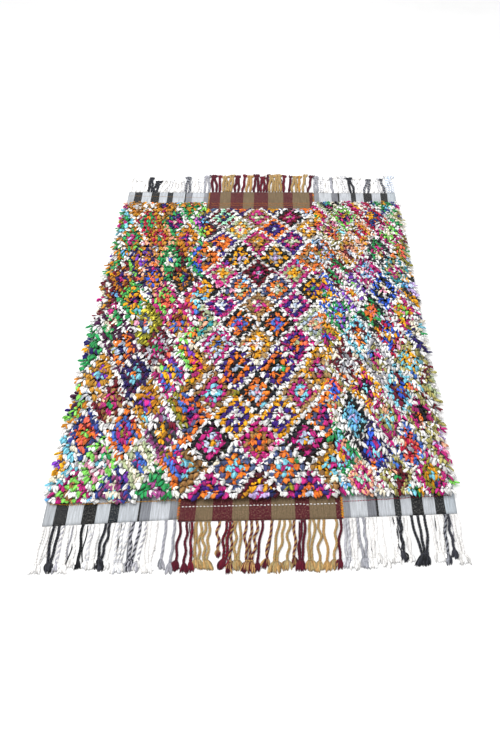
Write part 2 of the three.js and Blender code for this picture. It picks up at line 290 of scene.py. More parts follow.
CENTRE_CHART = (
    (-964, -952, "mg pu or ic, bu go li mg, mg pu or ic"),
    (-848, -830, "br br cy mg, sl or cy mg, sl or cy mg, br go cy mg"),
    (-736, -704, "bk mg ic go, mg br or pu, bk mg ic go"),
    (-586, -586, "or sl mg nv, go pu wh mg, go pu wh mg, or sl mg nv"),
    (-464, -464, "br mg cy wh, bk or ic pk, tn mg cy pe"),
    (-325, -330, "br go mg go, pu or bk mg, pu or bk ic, go tn mg ic"),
    (-176, -168, "mg ic oc bl, tn go wh pe, mg pu or sa"),
    (-48, -40, "sa te pe sa, bk or bl mg, bk or bl mg, sa ic pe sa"),
    (94, 78, "mg pu wh ic, br tn mg gy, mg pu wh ic"),
    (182, 202, "bk go ic go, sl or sa wh, sl or sa wh, bk go pu gr"),
    (326, 322, "mg sa go go, ma bk mg ic, mg sa go go"),
    (422, 446, "or or br ic, bk go gy li, bk go gy li, or br ic or"),
    (588, 576, "pu or or cr, mg br go cr, pu mg sa cr"),
    (674, 698, "ch ma go nv, sa go cr mg, or pu pu ic, tn go wh mg"),
    (796, 790, "ma mi nv go, br mg sa cr, bk ma mg sa"),
    (902, 908, "sl go go go, nv or or or, nv go go go, ic or or or"),
)
RIGHT_CHART = (
    (-1000, -1000, ""),
    (-882, -876, "pe mg mi sk, kh ma ma bl, mg ol go cy"),
    (-790, -728, "gr cy mg go, nv cb mg li, bl co cs gy, kh mg li pe"),
    (-602, -592, "bk cy sk li, mg kh cy cr, kh mg bk ic"),
    (-445, -430, "kh co cb mg, go mg bk cy, cy ma cb br, ma kh sa go"),
    (-292, -276, "ma ma gy wh, gy kh mg kh, kh cy go ma"),
    (-130, -106, "go ol mg cb, cy ma or go, cs cb go lm, nv cr ma gr"),
    (14, 40, "gr vi sk go, bk gr or pk, mg go lm or"),
    (160, 194, "cb go mg gr, vi wh co go, cb bk cr pk, go ch li vi"),
    (336, 344, "ma gr mg go, mg ic sk pk, te kh mg gr"),
    (480, 494, "or ic nv ol, oc pe ma ic, ch gr mg sa, ol co kh cr"),
    (655, 650, "kh mg or go, pe go cs ic, mg lm cr go"),
    (803, 803, "mg or go gr, lm mg nv go, cs in go go, gr cr kh pu"),
    (921, 921, "sa bk mg gr, cs mg go cr, in gr gr oc"),
    (1055, 1055, ""),
)
STRAYS = "mg or go gr lm pk bl nv cr vi co cy ma ol pe sk wh wh wh ic wh cr".split()
# How many of the pale knots that are mixed in are cream.
CREAM_SHARE = 0.3


@dataclass(frozen=True)
class TuftLattice:
    """The knots of one panel's pile, on the weaver's lattice.

    A lozenge is nine knots wide and nine high, and its outline is shared with its neighbours.
    near_span and far_span give where the first and the twenty-fifth knot of a row stand between
    the panel's long edges. Further knots fill what room a row has beyond them. A tuft covers the
    cloth on the near side of its knot, so the knot stands lean steps behind the place that is
    seen. The first row hangs over the pile's near end by as much as overhang. Knots keep back
    from the long edges by edge, and from the far end by far_rim. place_noise is how far they
    stray from their places, as shares of the room across and along the panel.
    """

    plan: PanelPlan
    chart: tuple[tuple[float, float, str], ...]
    strays: float
    outline_strays: float
    seed: int
    near_span: tuple[float, float]
    far_span: tuple[float, float]
    white_mix: float = 0.01
    half: int = 4
    lean: float = 0.85
    overhang: float = 12.0
    edge: float = 4.0
    far_rim: float = 5.0
    least_room: float = 0.35
    rim_noise: float = 1.5
    place_noise: tuple[float, float] = (0.04, 0.06)

    def lozenges(self) -> dict[Heart, list[Yarn]]:
        """The yarns of each lozenge, by the row and column of its heart.

        Returns:
            For each heart, its yarns from rim to heart, and then its outline's where one is named.
        """
        found = {}
        for number, (_, _, row) in enumerate(self.chart):
            cells = [cell.split() for cell in row.split(",") if cell.strip()]
            first = 1 if len(cells) == 3 else 0
            for place, codes in enumerate(cells):
                heart = (number * self.half, (first + 2 * place) * self.half)
                found[heart] = [YARN_BY_CODE[code] for code in codes]
        return found

    def yarn_at(
        self, row: int, column: int, lozenges: dict[Heart, list[Yarn]], rng: np.random.Generator
    ) -> Yarn:
        """The yarn of one knot: a ring of its lozenge, an outline, or now and then a stray.

        Args:
            row: The knot's row, from the near end.
            column: The knot's place in its row, from the west.
            lozenges: The yarns of each lozenge, as lozenges gives them.
            rng: The seeded source of the strays.

        Returns:
            The yarn that the knot is tied from.
        """
        stray = YARN_BY_CODE[STRAYS[rng.integers(len(STRAYS))]]
        west_first = 0.001
        heart = min(
            lozenges, key=lambda at: abs(at[0] - row) + abs(at[1] - column) + west_first * at[1]
        )
        ring = abs(heart[0] - row) + abs(heart[1] - column)
        if ring > self.half:
            return stray
        chance = self.outline_strays if ring == self.half else self.strays
        if rng.random() < chance:
            return stray
        yarns = lozenges[heart]
        if rng.random() < self.white_mix:
            return Yarn.CREAM if rng.random() < CREAM_SHARE else Yarn.WHITE
        if ring == self.half:
            return yarns[4] if len(yarns) > 4 else Yarn.WHITE
        return yarns[self.half - 1 - ring]

    def knots(self) -> "Knots":
        """Every knot of the pile, with its place, its yarn and the room that its tuft has.

        Returns:
            The knots, row by row from the near end and from west to east in each row.
        """
        rng = np.random.default_rng(self.seed)
        lozenges = self.lozenges()
        west_y = self._row_heights(0)
        east_y = self._row_heights(1)
        places, colours, rooms, rims = [], [], [], []
        for row in range(len(west_y)):
            columns = self._columns(west_y[row])
            for column, share in columns:
                seen_y = lerp(west_y[row], east_y[row], share)
                other = row + 1 if row + 1 < len(west_y) else row - 1
                step = abs(lerp(west_y[other], east_y[other], share) - seen_y)
                near = lerp(*self.plan.pile_near, share) - self.overhang
                far = lerp(*self.plan.pile_far, share) - self.far_rim
                if not near <= seen_y + rng.normal(0, self.rim_noise) <= far:
                    continue
                leant = self.lean * step
                knot_y = min(seen_y + leant, far) + rng.normal(0, self.place_noise[1] * step)
                room = step * max((knot_y - seen_y) / leant, self.least_room)
                west = float(self.plan.west.x(knot_y))
                east = float(self.plan.east.x(knot_y))
                pitch = (east - west) * (columns[1][1] - columns[0][1])
                x = lerp(west, east, share) + rng.normal(0, self.place_noise[0] * pitch)
                x = min(max(x, west + self.edge), east - self.edge)
                places.append((x, knot_y))
                colours.append(self.yarn_at(row, column, lozenges, rng).linear)
                rooms.append((pitch, room))
                rims.append([
                    float(column == columns[0][0] and self.plan.west is WEST),
                    float(column == columns[-1][0] and self.plan.east is EAST),
                ])
        return Knots(np.array(places), np.array(colours), np.array(rooms), np.array(rims))

    def _row_heights(self, side: int) -> list[float]:
        """The y of every row of knots at one side of the panel.

        Args:
            side: 0 for the west and 1 for the east.

        Returns:
            The rows' y, from the near end.
        """
        hearts = [row[side] for row in self.chart]
        rows = np.arange((len(hearts) - 1) * self.half + 1) / self.half
        return [float(y) for y in np.interp(rows, np.arange(len(hearts)), hearts)]

    def _columns(self, y: float) -> list[tuple[int, float]]:
        """The knots of a row.

        Args:
            y: The row's place at the west.

        Returns:
            Each knot's column, with the share of the panel's width at which it stands.
        """
        last_charted, lowest, highest = 24, -0.012, 0.995
        first = lerp(self.near_span[0], self.far_span[0], along_rug(y))
        last = lerp(self.near_span[1], self.far_span[1], along_rug(y))
        shares = [(column, lerp(first, last, column / last_charted)) for column in range(-2, 28)]
        return [(column, share) for column, share in shares if lowest <= share <= highest]


@dataclass(frozen=True)
class Knots:
    """The knots of a panel as arrays, one line for each knot.

    rooms gives each knot's room across and along the panel, and rims whether it is the outermost
    of its row at the rug's west and east edge.
    """

    places: np.ndarray
    colours: np.ndarray
    rooms: np.ndarray
    rims: np.ndarray

    @property
    def pale(self) -> np.ndarray:
        """1 for each knot of white or cream yarn, which is spun thicker, and else 0."""
        palest_dyed = 0.6
        return (self.colours.min(axis=1) > palest_dyed).astype(float)

    def part(self, chosen: np.ndarray) -> "Knots":
        """The knots that chosen picks out."""
        arrays = (self.places, self.colours, self.rooms, self.rims)
        return Knots(*(array[chosen] for array in arrays))


# Shapes that are repeated.

def placed(name: str, data: bpy.types.ID) -> bpy.types.Object:
    """Puts an object into the scene.

    Args:
        name: The object's name.
        data: Its mesh, lamp or camera.

    Returns:
        The new object.
    """
    thing = bpy.data.objects.new(name, data)
    bpy.context.scene.collection.objects.link(thing)
    return thing


@dataclass(frozen=True)
class Bead:
    """A small closed shape whose copies are joined into one mesh, each one bent to its place.

    It is a sphere of few faces. across and up run from -1 to 1 over its width and thickness, and
    along from 0 to 1 between its poles.
    """

    sides: int
    rings: int
    across: np.ndarray = field(init=False)
    up: np.ndarray = field(init=False)
    along: np.ndarray = field(init=False)
    loops: np.ndarray = field(init=False)
    loop_starts: np.ndarray = field(init=False)
    loop_uvs: np.ndarray = field(init=False)

    @property
    def girdle(self) -> np.ndarray:
        """1 for each point that isn't a pole, and else 0."""
        return np.hypot(self.across, self.up) > 0.5

    def __post_init__(self) -> None:
        """Makes the sphere by its operator and keeps its points and faces as arrays."""
        mesh = bmesh.new()
        mesh.loops.layers.uv.new(BAKE_MAP)
        bmesh.ops.create_uvsphere(
            mesh, u_segments=self.sides, v_segments=self.rings, radius=1.0, calc_uvs=True
        )
        mesh.verts.ensure_lookup_table()
        points = np.array([vertex.co[:] for vertex in mesh.verts])
        layer = mesh.loops.layers.uv.active
        loops, starts, uvs = [], [], []
        for face in mesh.faces:
            starts.append(len(loops))
            for loop in face.loops:
                loops.append(loop.vert.index)
                uvs.append(loop[layer].uv[:])
        mesh.free()
        girth = np.hypot(points[:, 0], points[:, 1])
        off_pole = girth > 1e-5
        divisor = np.where(off_pole, girth, 1.0)
        ring = np.round(np.arccos(np.clip(points[:, 2], -1, 1)) / math.pi * self.rings)
        uv_array = np.array(uvs)
        low, high = uv_array.min(axis=0), uv_array.max(axis=0)
        values = {
            "across": np.where(off_pole, points[:, 0] / divisor, 0.0),
            "up": np.where(off_pole, points[:, 1] / divisor, 0.0),
            "along": 1.0 - ring / self.rings,
            "loops": np.array(loops),
            "loop_starts": np.array(starts),
            "loop_uvs": (uv_array - low) / (high - low),
        }
        for name, value in values.items():
            object.__setattr__(self, name, value)

    def joined(self, name: str, points: np.ndarray, colours: np.ndarray) -> bpy.types.Object:
        """Joins the bent copies into one piece.

        Args:
            name: The piece's name.
            points: The copies' points in millimetres, as copies by points by three.
            colours: One linear colour for each copy.

        Returns:
            The new piece, with a yarn colour on its points and its own map for each copy.
        """
        copies, count = points.shape[0], points.shape[1]
        flat = points.reshape(-1, 3) * METRES
        flat[:, 0] += rug_shift()
        mesh = bpy.data.meshes.new(name)
        mesh.vertices.add(len(flat))
        mesh.vertices.foreach_set("co", flat.ravel())
        offsets = np.arange(copies)[:, None] * count
        loops = (self.loops[None, :] + offsets).ravel()
        mesh.loops.add(len(loops))
        mesh.loops.foreach_set("vertex_index", loops.astype(np.int32))
        jumps = np.arange(copies)[:, None] * len(self.loops)
        starts = (self.loop_starts[None, :] + jumps).ravel()
        mesh.polygons.add(len(starts))
        mesh.polygons.foreach_set("loop_start", starts.astype(np.int32))
        mesh.polygons.foreach_set("use_smooth", np.ones(len(starts), dtype=bool))
        mesh.update(calc_edges=True)
        uv_map = mesh.uv_layers.new(name=BAKE_MAP)
        uv_map.data.foreach_set("uv", self._tiles(copies).ravel().astype(np.float32))
        shade = mesh.color_attributes.new(name=YARN_ATTRIBUTE, type="FLOAT_COLOR", domain="POINT")
        each = np.concatenate([colours, np.ones((copies, 1))], axis=1)
        shade.data.foreach_set("color", np.repeat(each, count, axis=0).ravel().astype(np.float32))
        return placed(name, mesh)

    def _tiles(self, copies: int) -> np.ndarray:
        """The corners of the map of a piece.

        Args:
            copies: How many copies the piece has.

        Returns:
            The corners, as copies by loops by two, with a square tile of its own for each copy.
        """
        margin = 0.06
        side = tiles_a_side(copies)
        corner = np.stack([np.arange(copies) % side, np.arange(copies) // side], axis=1)
        inside = margin + (1 - 2 * margin) * self.loop_uvs
        return (corner[:, None, :] + inside[None, :, :]) / side


def tiles_a_side(copies: int) -> int:
    """How many tiles stand along one side of the map of a piece of many copies."""
    return math.ceil(math.sqrt(copies))


LOCK = Bead(sides=5, rings=5)
THIN_LOCK = Bead(sides=4, rings=5)
PLY = Bead(sides=5, rings=36)
WISP = Bead(sides=4, rings=20)
KNOT_LOBE = Bead(sides=6, rings=6)


# How thick a thread is at shares along it, as a share of its thickest.

def lock_girth(share: np.ndarray) -> np.ndarray:
    """The girth of a lock of yarn, which is widest beyond its middle."""
    return np.interp(share, (0.0, 0.2, 0.4, 0.6, 0.8, 1.0), (0.3, 0.62, 0.92, 1.0, 0.78, 0.2))


def even_girth(share: np.ndarray) -> np.ndarray:
    """The girth of a thread of even width with rounded ends."""
    return np.clip(np.minimum(share, 1 - share) * 14 + 0.55, 0, 1)


def swelling_girth(share: np.ndarray) -> np.ndarray:
    """The girth of a thread that swells in the middle."""
    return np.sqrt(np.clip(np.sin(math.pi * np.clip(share, 0.03, 0.97)), 0, 1))


def straight_line(start: np.ndarray, end: np.ndarray) -> AlongThread:
    """The line of a thread that goes straight from one point to another.

    Args:
        start: The point that it starts from.
        end: The point that it ends at.

    Returns:
        The line, as Runs.lay takes it.
    """
    def line(share: np.ndarray) -> np.ndarray:
        """The middle of the thread at shares along it."""
        return start[None, :] + share[:, None] * (end - start)[None, :]
    return line


@dataclass
class Locks:
    """Locks of yarn that stand up from their knots and lean over, as arrays of one line each.

    root is where each starts, heading the way that it leans, turned to the side by curl as it
    goes. tilt_root and tilt_tip are its angles from the upright at its two ends. Above
    press_above millimetres the pile is pressed down to a share of its height.
    """

    root: np.ndarray
    heading: np.ndarray
    curl: np.ndarray
    tilt_root: np.ndarray
    tilt_tip: np.ndarray
    length: np.ndarray
    half_width: np.ndarray
    half_height: np.ndarray
    roll: np.ndarray
    colour: np.ndarray
    press_above: float = 23.0
    pressed: float = 0.6
    roughness: float = 0.34

    def points(self, bead: Bead, lowest: float = 0.4) -> np.ndarray:
        """Bends a copy of the bead along each lock.

        Args:
            bead: The shape that is bent.
            lowest: The height that no point goes under.

        Returns:
            The points in millimetres, as locks by points by three.
        """
        along = bead.along[None, :]
        least_turn = 1e-3
        turn = self.tilt_tip - self.tilt_root
        turn = np.where(np.abs(turn) < least_turn, least_turn, turn)[:, None]
        tilt = self.tilt_root[:, None] + turn * along
        reach = self.length[:, None] / turn * (np.cos(self.tilt_root)[:, None] - np.cos(tilt))
        rise = self.length[:, None] / turn * (np.sin(tilt) - np.sin(self.tilt_root)[:, None])
        heading = self.heading[:, None] + self.curl[:, None] * along
        ahead = np.stack([np.cos(heading), np.sin(heading), np.zeros_like(heading)], axis=2)
        aside = np.stack([-np.sin(heading), np.cos(heading), np.zeros_like(heading)], axis=2)
        upright = np.array([0.0, 0.0, 1.0])
        outward = -np.cos(tilt)[..., None] * ahead + np.sin(tilt)[..., None] * upright
        spine = self.root[:, None, :] + reach[..., None] * ahead + rise[..., None] * upright
        girth = lock_girth(bead.along) * bead.girdle
        rng = np.random.default_rng(len(self.length))
        uneven = 1 + self.roughness * rng.uniform(-1, 1, (len(self.length), len(girth)))
        wide = self.half_width[:, None] * (girth * bead.across)[None, :] * uneven
        thick = self.half_height[:, None] * (girth * bead.up)[None, :] * uneven
        cos_roll, sin_roll = np.cos(self.roll)[:, None], np.sin(self.roll)[:, None]
        sideways = wide * cos_roll - thick * sin_roll
        outwards = wide * sin_roll + thick * cos_roll
        points = spine + sideways[..., None] * aside + outwards[..., None] * outward
        too_high = np.maximum(points[..., 2] - self.press_above, 0.0)
        points[..., 2] = np.maximum(points[..., 2] - self.pressed * too_high, lowest)
        return points


@dataclass
class Runs:
    """Threads that follow a given line on the rug, each a bead stretched along it."""

    points: list[np.ndarray] = field(default_factory=list)
    colours: list[np.ndarray] = field(default_factory=list)

    def lay(
        self,
        bead: Bead,
        line: AlongThread,
        girth: AlongThread,
        thickest: tuple[float, float],
        colour: np.ndarray,
    ) -> None:
        """Lays one thread.

        Args:
            bead: The shape that is stretched.
            line: Gives the thread's middle, as points by three, for shares along it.
            girth: Gives how thick it is there, as a share of its thickest.
            thickest: Half its width and half its height where it is thickest.
            colour: The thread's linear colour.
        """
        share = bead.along
        middle = line(share)
        step, tiny = 1e-3, 1e-12
        tangent = line(np.minimum(share + step, 1)) - line(np.maximum(share - step, 0))
        tangent /= np.linalg.norm(tangent, axis=1)[:, None] + tiny
        aside = np.cross(np.array([0.0, 0.0, 1.0])[None, :], tangent)
        aside /= np.linalg.norm(aside, axis=1)[:, None] + tiny
        outward = np.cross(tangent, aside)
        ring = girth(share) * bead.girdle
        wide = (thickest[0] * ring * bead.across)[:, None]
        thick = (thickest[1] * ring * bead.up)[:, None]
        self.points.append(middle + wide * aside + thick * outward)
        self.colours.append(colour)

    def joined(self, bead: Bead, name: str) -> bpy.types.Object:
        """Joins every thread into one piece."""
        return bead.joined(name, np.array(self.points), np.array(self.colours))


# Finishes. Each effect that several materials share is one node group.

@dataclass
class NodeBench:
    """Places and joins nodes in one node tree."""

    tree: bpy.types.NodeTree

    def add(self, kind: str, **settings: object) -> bpy.types.Node:
        """Adds a node.

        Args:
            kind: The node's type.
            settings: Values for the node's own properties, by name.

        Returns:
            The new node.
        """
        node = self.tree.nodes.new(kind)
        for name, value in settings.items():
            setattr(node, name, value)
        return node

    def feed(self, target: Socket, value: Fed) -> None:
        """Joins a socket to another, or gives it a plain value, or leaves it for None."""
        if isinstance(value, Socket):
            self.tree.links.new(value, target)
        elif value is not None:
            target.default_value = value

    def feed_all(self, targets: Iterable[Socket], values: Iterable[Fed]) -> None:
        """Feeds each socket its value, in order."""
        for target, value in zip(targets, values):
            self.feed(target, value)

    def math(self, operation: str, *values: Fed) -> Socket:
        """The result of a Math node.

        Args:
            operation: What the node works out.
            values: The two or three values or sockets that it takes.

        Returns:
            The result.
        """
        node = self.add("ShaderNodeMath", operation=operation)
        self.feed_all(node.inputs, values)
        return node.outputs[0]

    def times(self, first: Fed, second: Fed) -> Socket:
        """The product of two values."""
        return self.math("MULTIPLY", first, second)

    def vector(self, x: Fed, y: Fed, z: Fed = 0.0) -> Socket:
        """Three values as one vector.

        Args:
            x: The first value.
            y: The second value.
            z: The third value.

        Returns:
            The vector.
        """
        node = self.add("ShaderNodeCombineXYZ")
        self.feed_all(node.inputs, (x, y, z))
        return node.outputs[0]

    def grey(self, light: Fed) -> Socket:
        """A grey colour.

        Args:
            light: How light it is.

        Returns:
            The colour.
        """
        node = self.add("ShaderNodeCombineColor")
        self.feed_all(node.inputs, (light, light, light))
        return node.outputs[0]

    def noise(self, vector: Fed, scale: float, detail: float = 2.0) -> Socket:
        """The value of a noise texture.

        Args:
            vector: Where the noise is read.
            scale: How many patches it has in a unit.
            detail: How many finer layers it has.

        Returns:
            The noise, from 0 to 1.
        """
        node = self.add("ShaderNodeTexNoise")
        self.feed(node.inputs["Vector"], vector)
        node.inputs["Scale"].default_value = scale
        node.inputs["Detail"].default_value = detail
        return node.outputs["Fac"]

    def spread(self, value: Fed, low: float, high: float, to_low: Fed, to_high: Fed) -> Socket:
        """A value from low to high, spread over to_low to to_high and held there.

        Args:
            value: The value that is spread.
            low: Where to_low is reached.
            high: Where to_high is reached.
            to_low: The result at low and below it.
            to_high: The result at high and above it.

        Returns:
            The result.
        """
        node = self.add("ShaderNodeMapRange")
        self.feed_all(node.inputs, (value, low, high, to_low, to_high))
        return node.outputs["Result"]

    def blend(self, share: Fed, first: Fed, second: Fed, mode: str = "MIX") -> Socket:
        """Two colours mixed by a share.

        Args:
            share: How much of the second colour is mixed in.
            first: The first colour.
            second: The second colour.
            mode: The way that they are mixed.

        Returns:
            The mixed colour.
        """
        node = self.add("ShaderNodeMix", data_type="RGBA", blend_type=mode)
        targets = (node.inputs["Factor"], node.inputs[6], node.inputs[7])
        self.feed_all(targets, (share, first, second))
        return node.outputs[2]

    def uv(self, name: str) -> tuple[Socket, Socket]:
        """The two coordinates of a piece's own map.

        Args:
            name: The map's name.

        Returns:
            The place across the map and the place up it.
        """
        source = self.add("ShaderNodeUVMap", uv_map=name)
        parts = self.add("ShaderNodeSeparateXYZ")
        self.feed(parts.inputs[0], source.outputs[0])
        return parts.outputs[0], parts.outputs[1]


class NodeEffect:
    """A shader node group, built once: the parent of each shared effect."""

    name = "effect"
    inputs: tuple[tuple[str, float | Colour], ...] = ()
    outputs = (
        ("Colour", "NodeSocketColor"),
        ("Roughness", "NodeSocketFloat"),
        ("Height", "NodeSocketFloat"),
    )

    @classmethod
    def group(cls) -> bpy.types.NodeTree:
        """The group, made at its first use.

        Returns:
            The group's node tree.
        """
        found = bpy.data.node_groups.get(cls.name)
        if found:
            return found
        tree = bpy.data.node_groups.new(cls.name, "ShaderNodeTree")
        for name, value in cls.inputs:
            kind = "NodeSocketColor" if isinstance(value, tuple) else "NodeSocketFloat"
            socket = tree.interface.new_socket(name, in_out="INPUT", socket_type=kind)
            socket.default_value = value
        for name, kind in cls.outputs:
            tree.interface.new_socket(name, in_out="OUTPUT", socket_type=kind)
        bench = NodeBench(tree)
        cls.build(bench, bench.add("NodeGroupInput").outputs, bench.add("NodeGroupOutput").inputs)
        return tree

    @classmethod
    def build(cls, bench: NodeBench, given: Sockets, put: Sockets) -> None:
        """Builds the group's nodes.

        Args:
            bench: Where the nodes are placed.
            given: The group's inputs.
            put: The group's outputs.
        """
        raise NotImplementedError

    @classmethod
    def used(cls, bench: NodeBench, colour: Socket, **values: Fed) -> Sockets:
        """Uses the group in another tree.

        Args:
            bench: The bench of that tree.
            colour: The colour that the effect starts from.
            values: The group's other inputs, by their names in small letters.

        Returns:
            The outputs of the group there.
        """
        node = bench.add("ShaderNodeGroup", node_tree=cls.group())
        bench.feed(node.inputs["Colour"], colour)
        for name, value in values.items():
            bench.feed(node.inputs[name.capitalize().replace("_", " ")], value)
        return node.outputs


class YarnFibre(NodeEffect):
    """Fibres that run along a lock or a thread, on a map with a tile for each, with painted shade
    that darkens each one towards its root.
    """

    name = "yarn fibre"
    inputs = (
        ("Colour", (0.5, 0.5, 0.5, 1.0)),
        ("Tiles", 50.0),
        ("Fibres", 9.0),
        ("Slubs", 2.0),
        # Root shade is painted shade: the share of the colour that is left at the root of each lock
        # or thread.
        ("Root shade", 0.6),
        ("Unevenness", 0.3),
    )

    @classmethod
    def build(cls, bench: NodeBench, given: Sockets, put: Sockets) -> None:
        """Builds the fibres from noise that is drawn out along each tile, and paints shade over the
        root end of each tile.

        Args:
            bench: Where the nodes are placed.
            given: The group's inputs.
            put: The group's outputs.
        """
        u, v = bench.uv(BAKE_MAP)
        across = bench.times(u, given["Tiles"])
        along = bench.times(v, given["Tiles"])
        drawn_out = bench.vector(
            bench.times(across, given["Fibres"]), bench.times(along, given["Slubs"])
        )
        fibres = bench.noise(drawn_out, 1.6, 3.0)
        patches = bench.noise(bench.vector(across, along), 1.3, 1.0)
        # Painted shade: the colour darkens towards the root end of each tile, where the pile and
        # the cloth would shade the yarn.
        root = bench.spread(bench.math("FRACT", along), 0.05, 0.4, given["Root shade"], 1.0)
        darkest = bench.math("SUBTRACT", 1.0, given["Unevenness"])
        fibre_light = bench.spread(fibres, 0.34, 0.6, darkest, 1.2)
        patch_light = bench.spread(patches, 0.3, 0.7, 0.8, 1.1)
        light = bench.times(bench.times(root, fibre_light), patch_light)
        bench.feed(
            put["Colour"], bench.blend(1.0, given["Colour"], bench.grey(light), "MULTIPLY")
        )
        bench.feed(put["Roughness"], bench.spread(fibres, 0.3, 0.7, 0.82, 0.96))
        bench.feed(put["Height"], fibres)


class WarpFacedWeave(NodeEffect):
    """A warp-faced weave: fine ribs along the cloth, picks across them, heathered yarn, and painted
    shade in the grooves between the ribs and picks.
    """

    name = "warp faced weave"
    inputs = (
        ("Colour", (0.5, 0.5, 0.5, 1.0)),
        ("Weft", (0.4, 0.4, 0.4, 1.0)),
        ("Ribs", 190.0),
        ("Picks", 240.0),
        ("Heather", 0.5),
    )

    @classmethod
    def build(cls, bench: NodeBench, given: Sockets, put: Sockets) -> None:
        """Builds the ribs and picks on the cloth's own map, with painted shade where they sink.

        Args:
            bench: Where the nodes are placed.
            given: The group's inputs.
            put: The group's outputs.
        """
        u, v = bench.uv(CLOTH_MAP)
        rib_place = bench.times(u, given["Ribs"])
        pick_place = bench.times(v, given["Picks"])
        staggered = bench.math(
            "ADD", pick_place, bench.times(bench.math("FLOOR", rib_place), 0.5)
        )
        rib, pick = (
            bench.math("ABSOLUTE", bench.math("SINE", bench.times(place, math.pi)))
            for place in (rib_place, staggered)
        )
        height = bench.times(rib, bench.spread(pick, 0.0, 0.5, 0.35, 1.0))
        drawn_out = bench.vector(rib_place, bench.times(pick_place, 0.09))
        streaks = bench.noise(drawn_out, 0.55, 3.0)
        specks = bench.noise(bench.vector(rib_place, pick_place), 0.8, 2.0)
        streak_light = bench.spread(streaks, 0.3, 0.7, 0.68, 1.18)
        speck = bench.times(bench.spread(specks, 0.52, 0.68, 0.0, 1.0), given["Heather"])
        # Painted shade: the colour is darkened where the weave's height is low, in the grooves
        # between ribs and picks.
        light = bench.times(streak_light, bench.spread(height, 0.0, 0.4, 0.62, 1.0))
        warp = bench.blend(1.0, given["Colour"], bench.grey(light), "MULTIPLY")
        bench.feed(put["Colour"], bench.blend(speck, warp, given["Weft"]))
        bench.feed(put["Roughness"], bench.spread(streaks, 0.3, 0.7, 0.8, 0.95))
        bench.feed(put["Height"], height)


@dataclass(frozen=True)
class YarnFinish:
    """The finish of locks, cords and stitches, whose colour is their own yarn's.

    tiles is how many tiles stand along a side of the piece's map. The next four are the values of
    the yarn fibre effect, and root_shade among them is the painted shade at the root of each lock
    or thread.
    """

    name: str
    tiles: int
    fibres: float = 4.0
    slubs: float = 1.2
    # Painted shade at the root of each lock or thread: the share of its colour that is left there.
    root_shade: float = 0.72
    unevenness: float = 0.68
    sheen: float = 0.08
    bump: float = 0.5
    bump_depth: float = 0.0009

    def material(self) -> bpy.types.Material:
        """Makes the material.

        Returns:
            The new material.
        """
        material, bench, shader = new_material(self.name)
        yarn = bench.add("ShaderNodeVertexColor", layer_name=YARN_ATTRIBUTE).outputs["Color"]
        effect = YarnFibre.used(
            bench,
            yarn,
            tiles=self.tiles,
            fibres=self.fibres,
            slubs=self.slubs,
            root_shade=self.root_shade,
            unevenness=self.unevenness,
        )
        dress_shader(bench, shader, effect, self.bump, self.bump_depth, self.sheen)
        return material


@dataclass(frozen=True)
class StripedClothFinish:
    """The finish of a panel's woven ground: warp stripes from west to east, heathered.

    stripes gives each stripe's start, as a share of the width, and its sRGB colour.
    """

    name: str
    stripes: tuple[tuple[float, str], ...]
    weft: str
    ribs: float
    heather: float
    picks: float = 240.0
    sheen: float = 0.05
    bump: float = 0.6
    bump_depth: float = 0.0008
    waver: float = 0.008

    def material(self) -> bpy.types.Material:
        """Makes the material.

        Returns:
            The new material.
        """
        material, bench, shader = new_material(self.name)
        u, v = bench.uv(CLOTH_MAP)
        drift = bench.noise(bench.vector(bench.times(u, 14.0), v), 9.0)
        off_middle = bench.math("SUBTRACT", drift, 0.5)
        place = bench.math("ADD", u, bench.times(off_middle, self.waver))
        ramp = bench.add("ShaderNodeValToRGB")
        ramp.color_ramp.interpolation = "CONSTANT"
        stops = ramp.color_ramp.elements
        while len(stops) < len(self.stripes):
            stops.new(1.0)
        for stop, (start, code) in zip(stops, self.stripes):
            stop.position = start
            stop.color = socket_colour(code)
        bench.feed(ramp.inputs[0], place)
        effect = WarpFacedWeave.used(
            bench,
            ramp.outputs["Color"],
            weft=socket_colour(self.weft),
            ribs=self.ribs,
            picks=self.picks,
            heather=self.heather,
        )
        dress_shader(bench, shader, effect, self.bump, self.bump_depth, self.sheen)
        return material


def new_material(name: str) -> tuple[bpy.types.Material, NodeBench, bpy.types.Node]:
    """A new material with its node bench and its surface shader.

    Args:
        name: The material's name.

    Returns:
        The material, the bench of its node tree and its surface shader.
    """
    material = bpy.data.materials.new(name)
    material.use_nodes = True
    shader = material.node_tree.nodes["Principled BSDF"]
    return material, NodeBench(material.node_tree), shader


def dress_shader(
    bench: NodeBench,
    shader: bpy.types.Node,
    effect: Sockets,
    bump: float,
    depth: float,
    sheen: float,
) -> None:
    """Feeds an effect's colour, roughness and height to the surface shader.

    Args:
        bench: The bench of the material's node tree.
        shader: The surface shader.
        effect: The outputs of the effect.
        bump: The strength of its relief.
        depth: How deep the relief is, in metres.
        sheen: The weight of the cloth's sheen.
    """
    bench.feed(shader.inputs["Base Color"], effect["Colour"])
    bench.feed(shader.inputs["Roughness"], effect["Roughness"])
    relief = bench.add("ShaderNodeBump")
    relief.inputs["Strength"].default_value = bump
    relief.inputs["Distance"].default_value = depth
    bench.feed(relief.inputs["Height"], effect["Height"])
    bench.feed(shader.inputs["Normal"], relief.outputs[0])
    shader.inputs["Sheen Weight"].default_value = sheen
    shader.inputs["Sheen Roughness"].default_value = 0.6
    shader.inputs["Specular IOR Level"].default_value = 0.12


# The rug's parts.

def dress(piece: bpy.types.Object, material: bpy.types.Material) -> None:
    """Gives a piece its material, and lets it ride with the rug.

    Args:
        piece: The piece.
        material: Its material.
    """
    piece.data.materials.append(material)
    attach(piece, BODY)


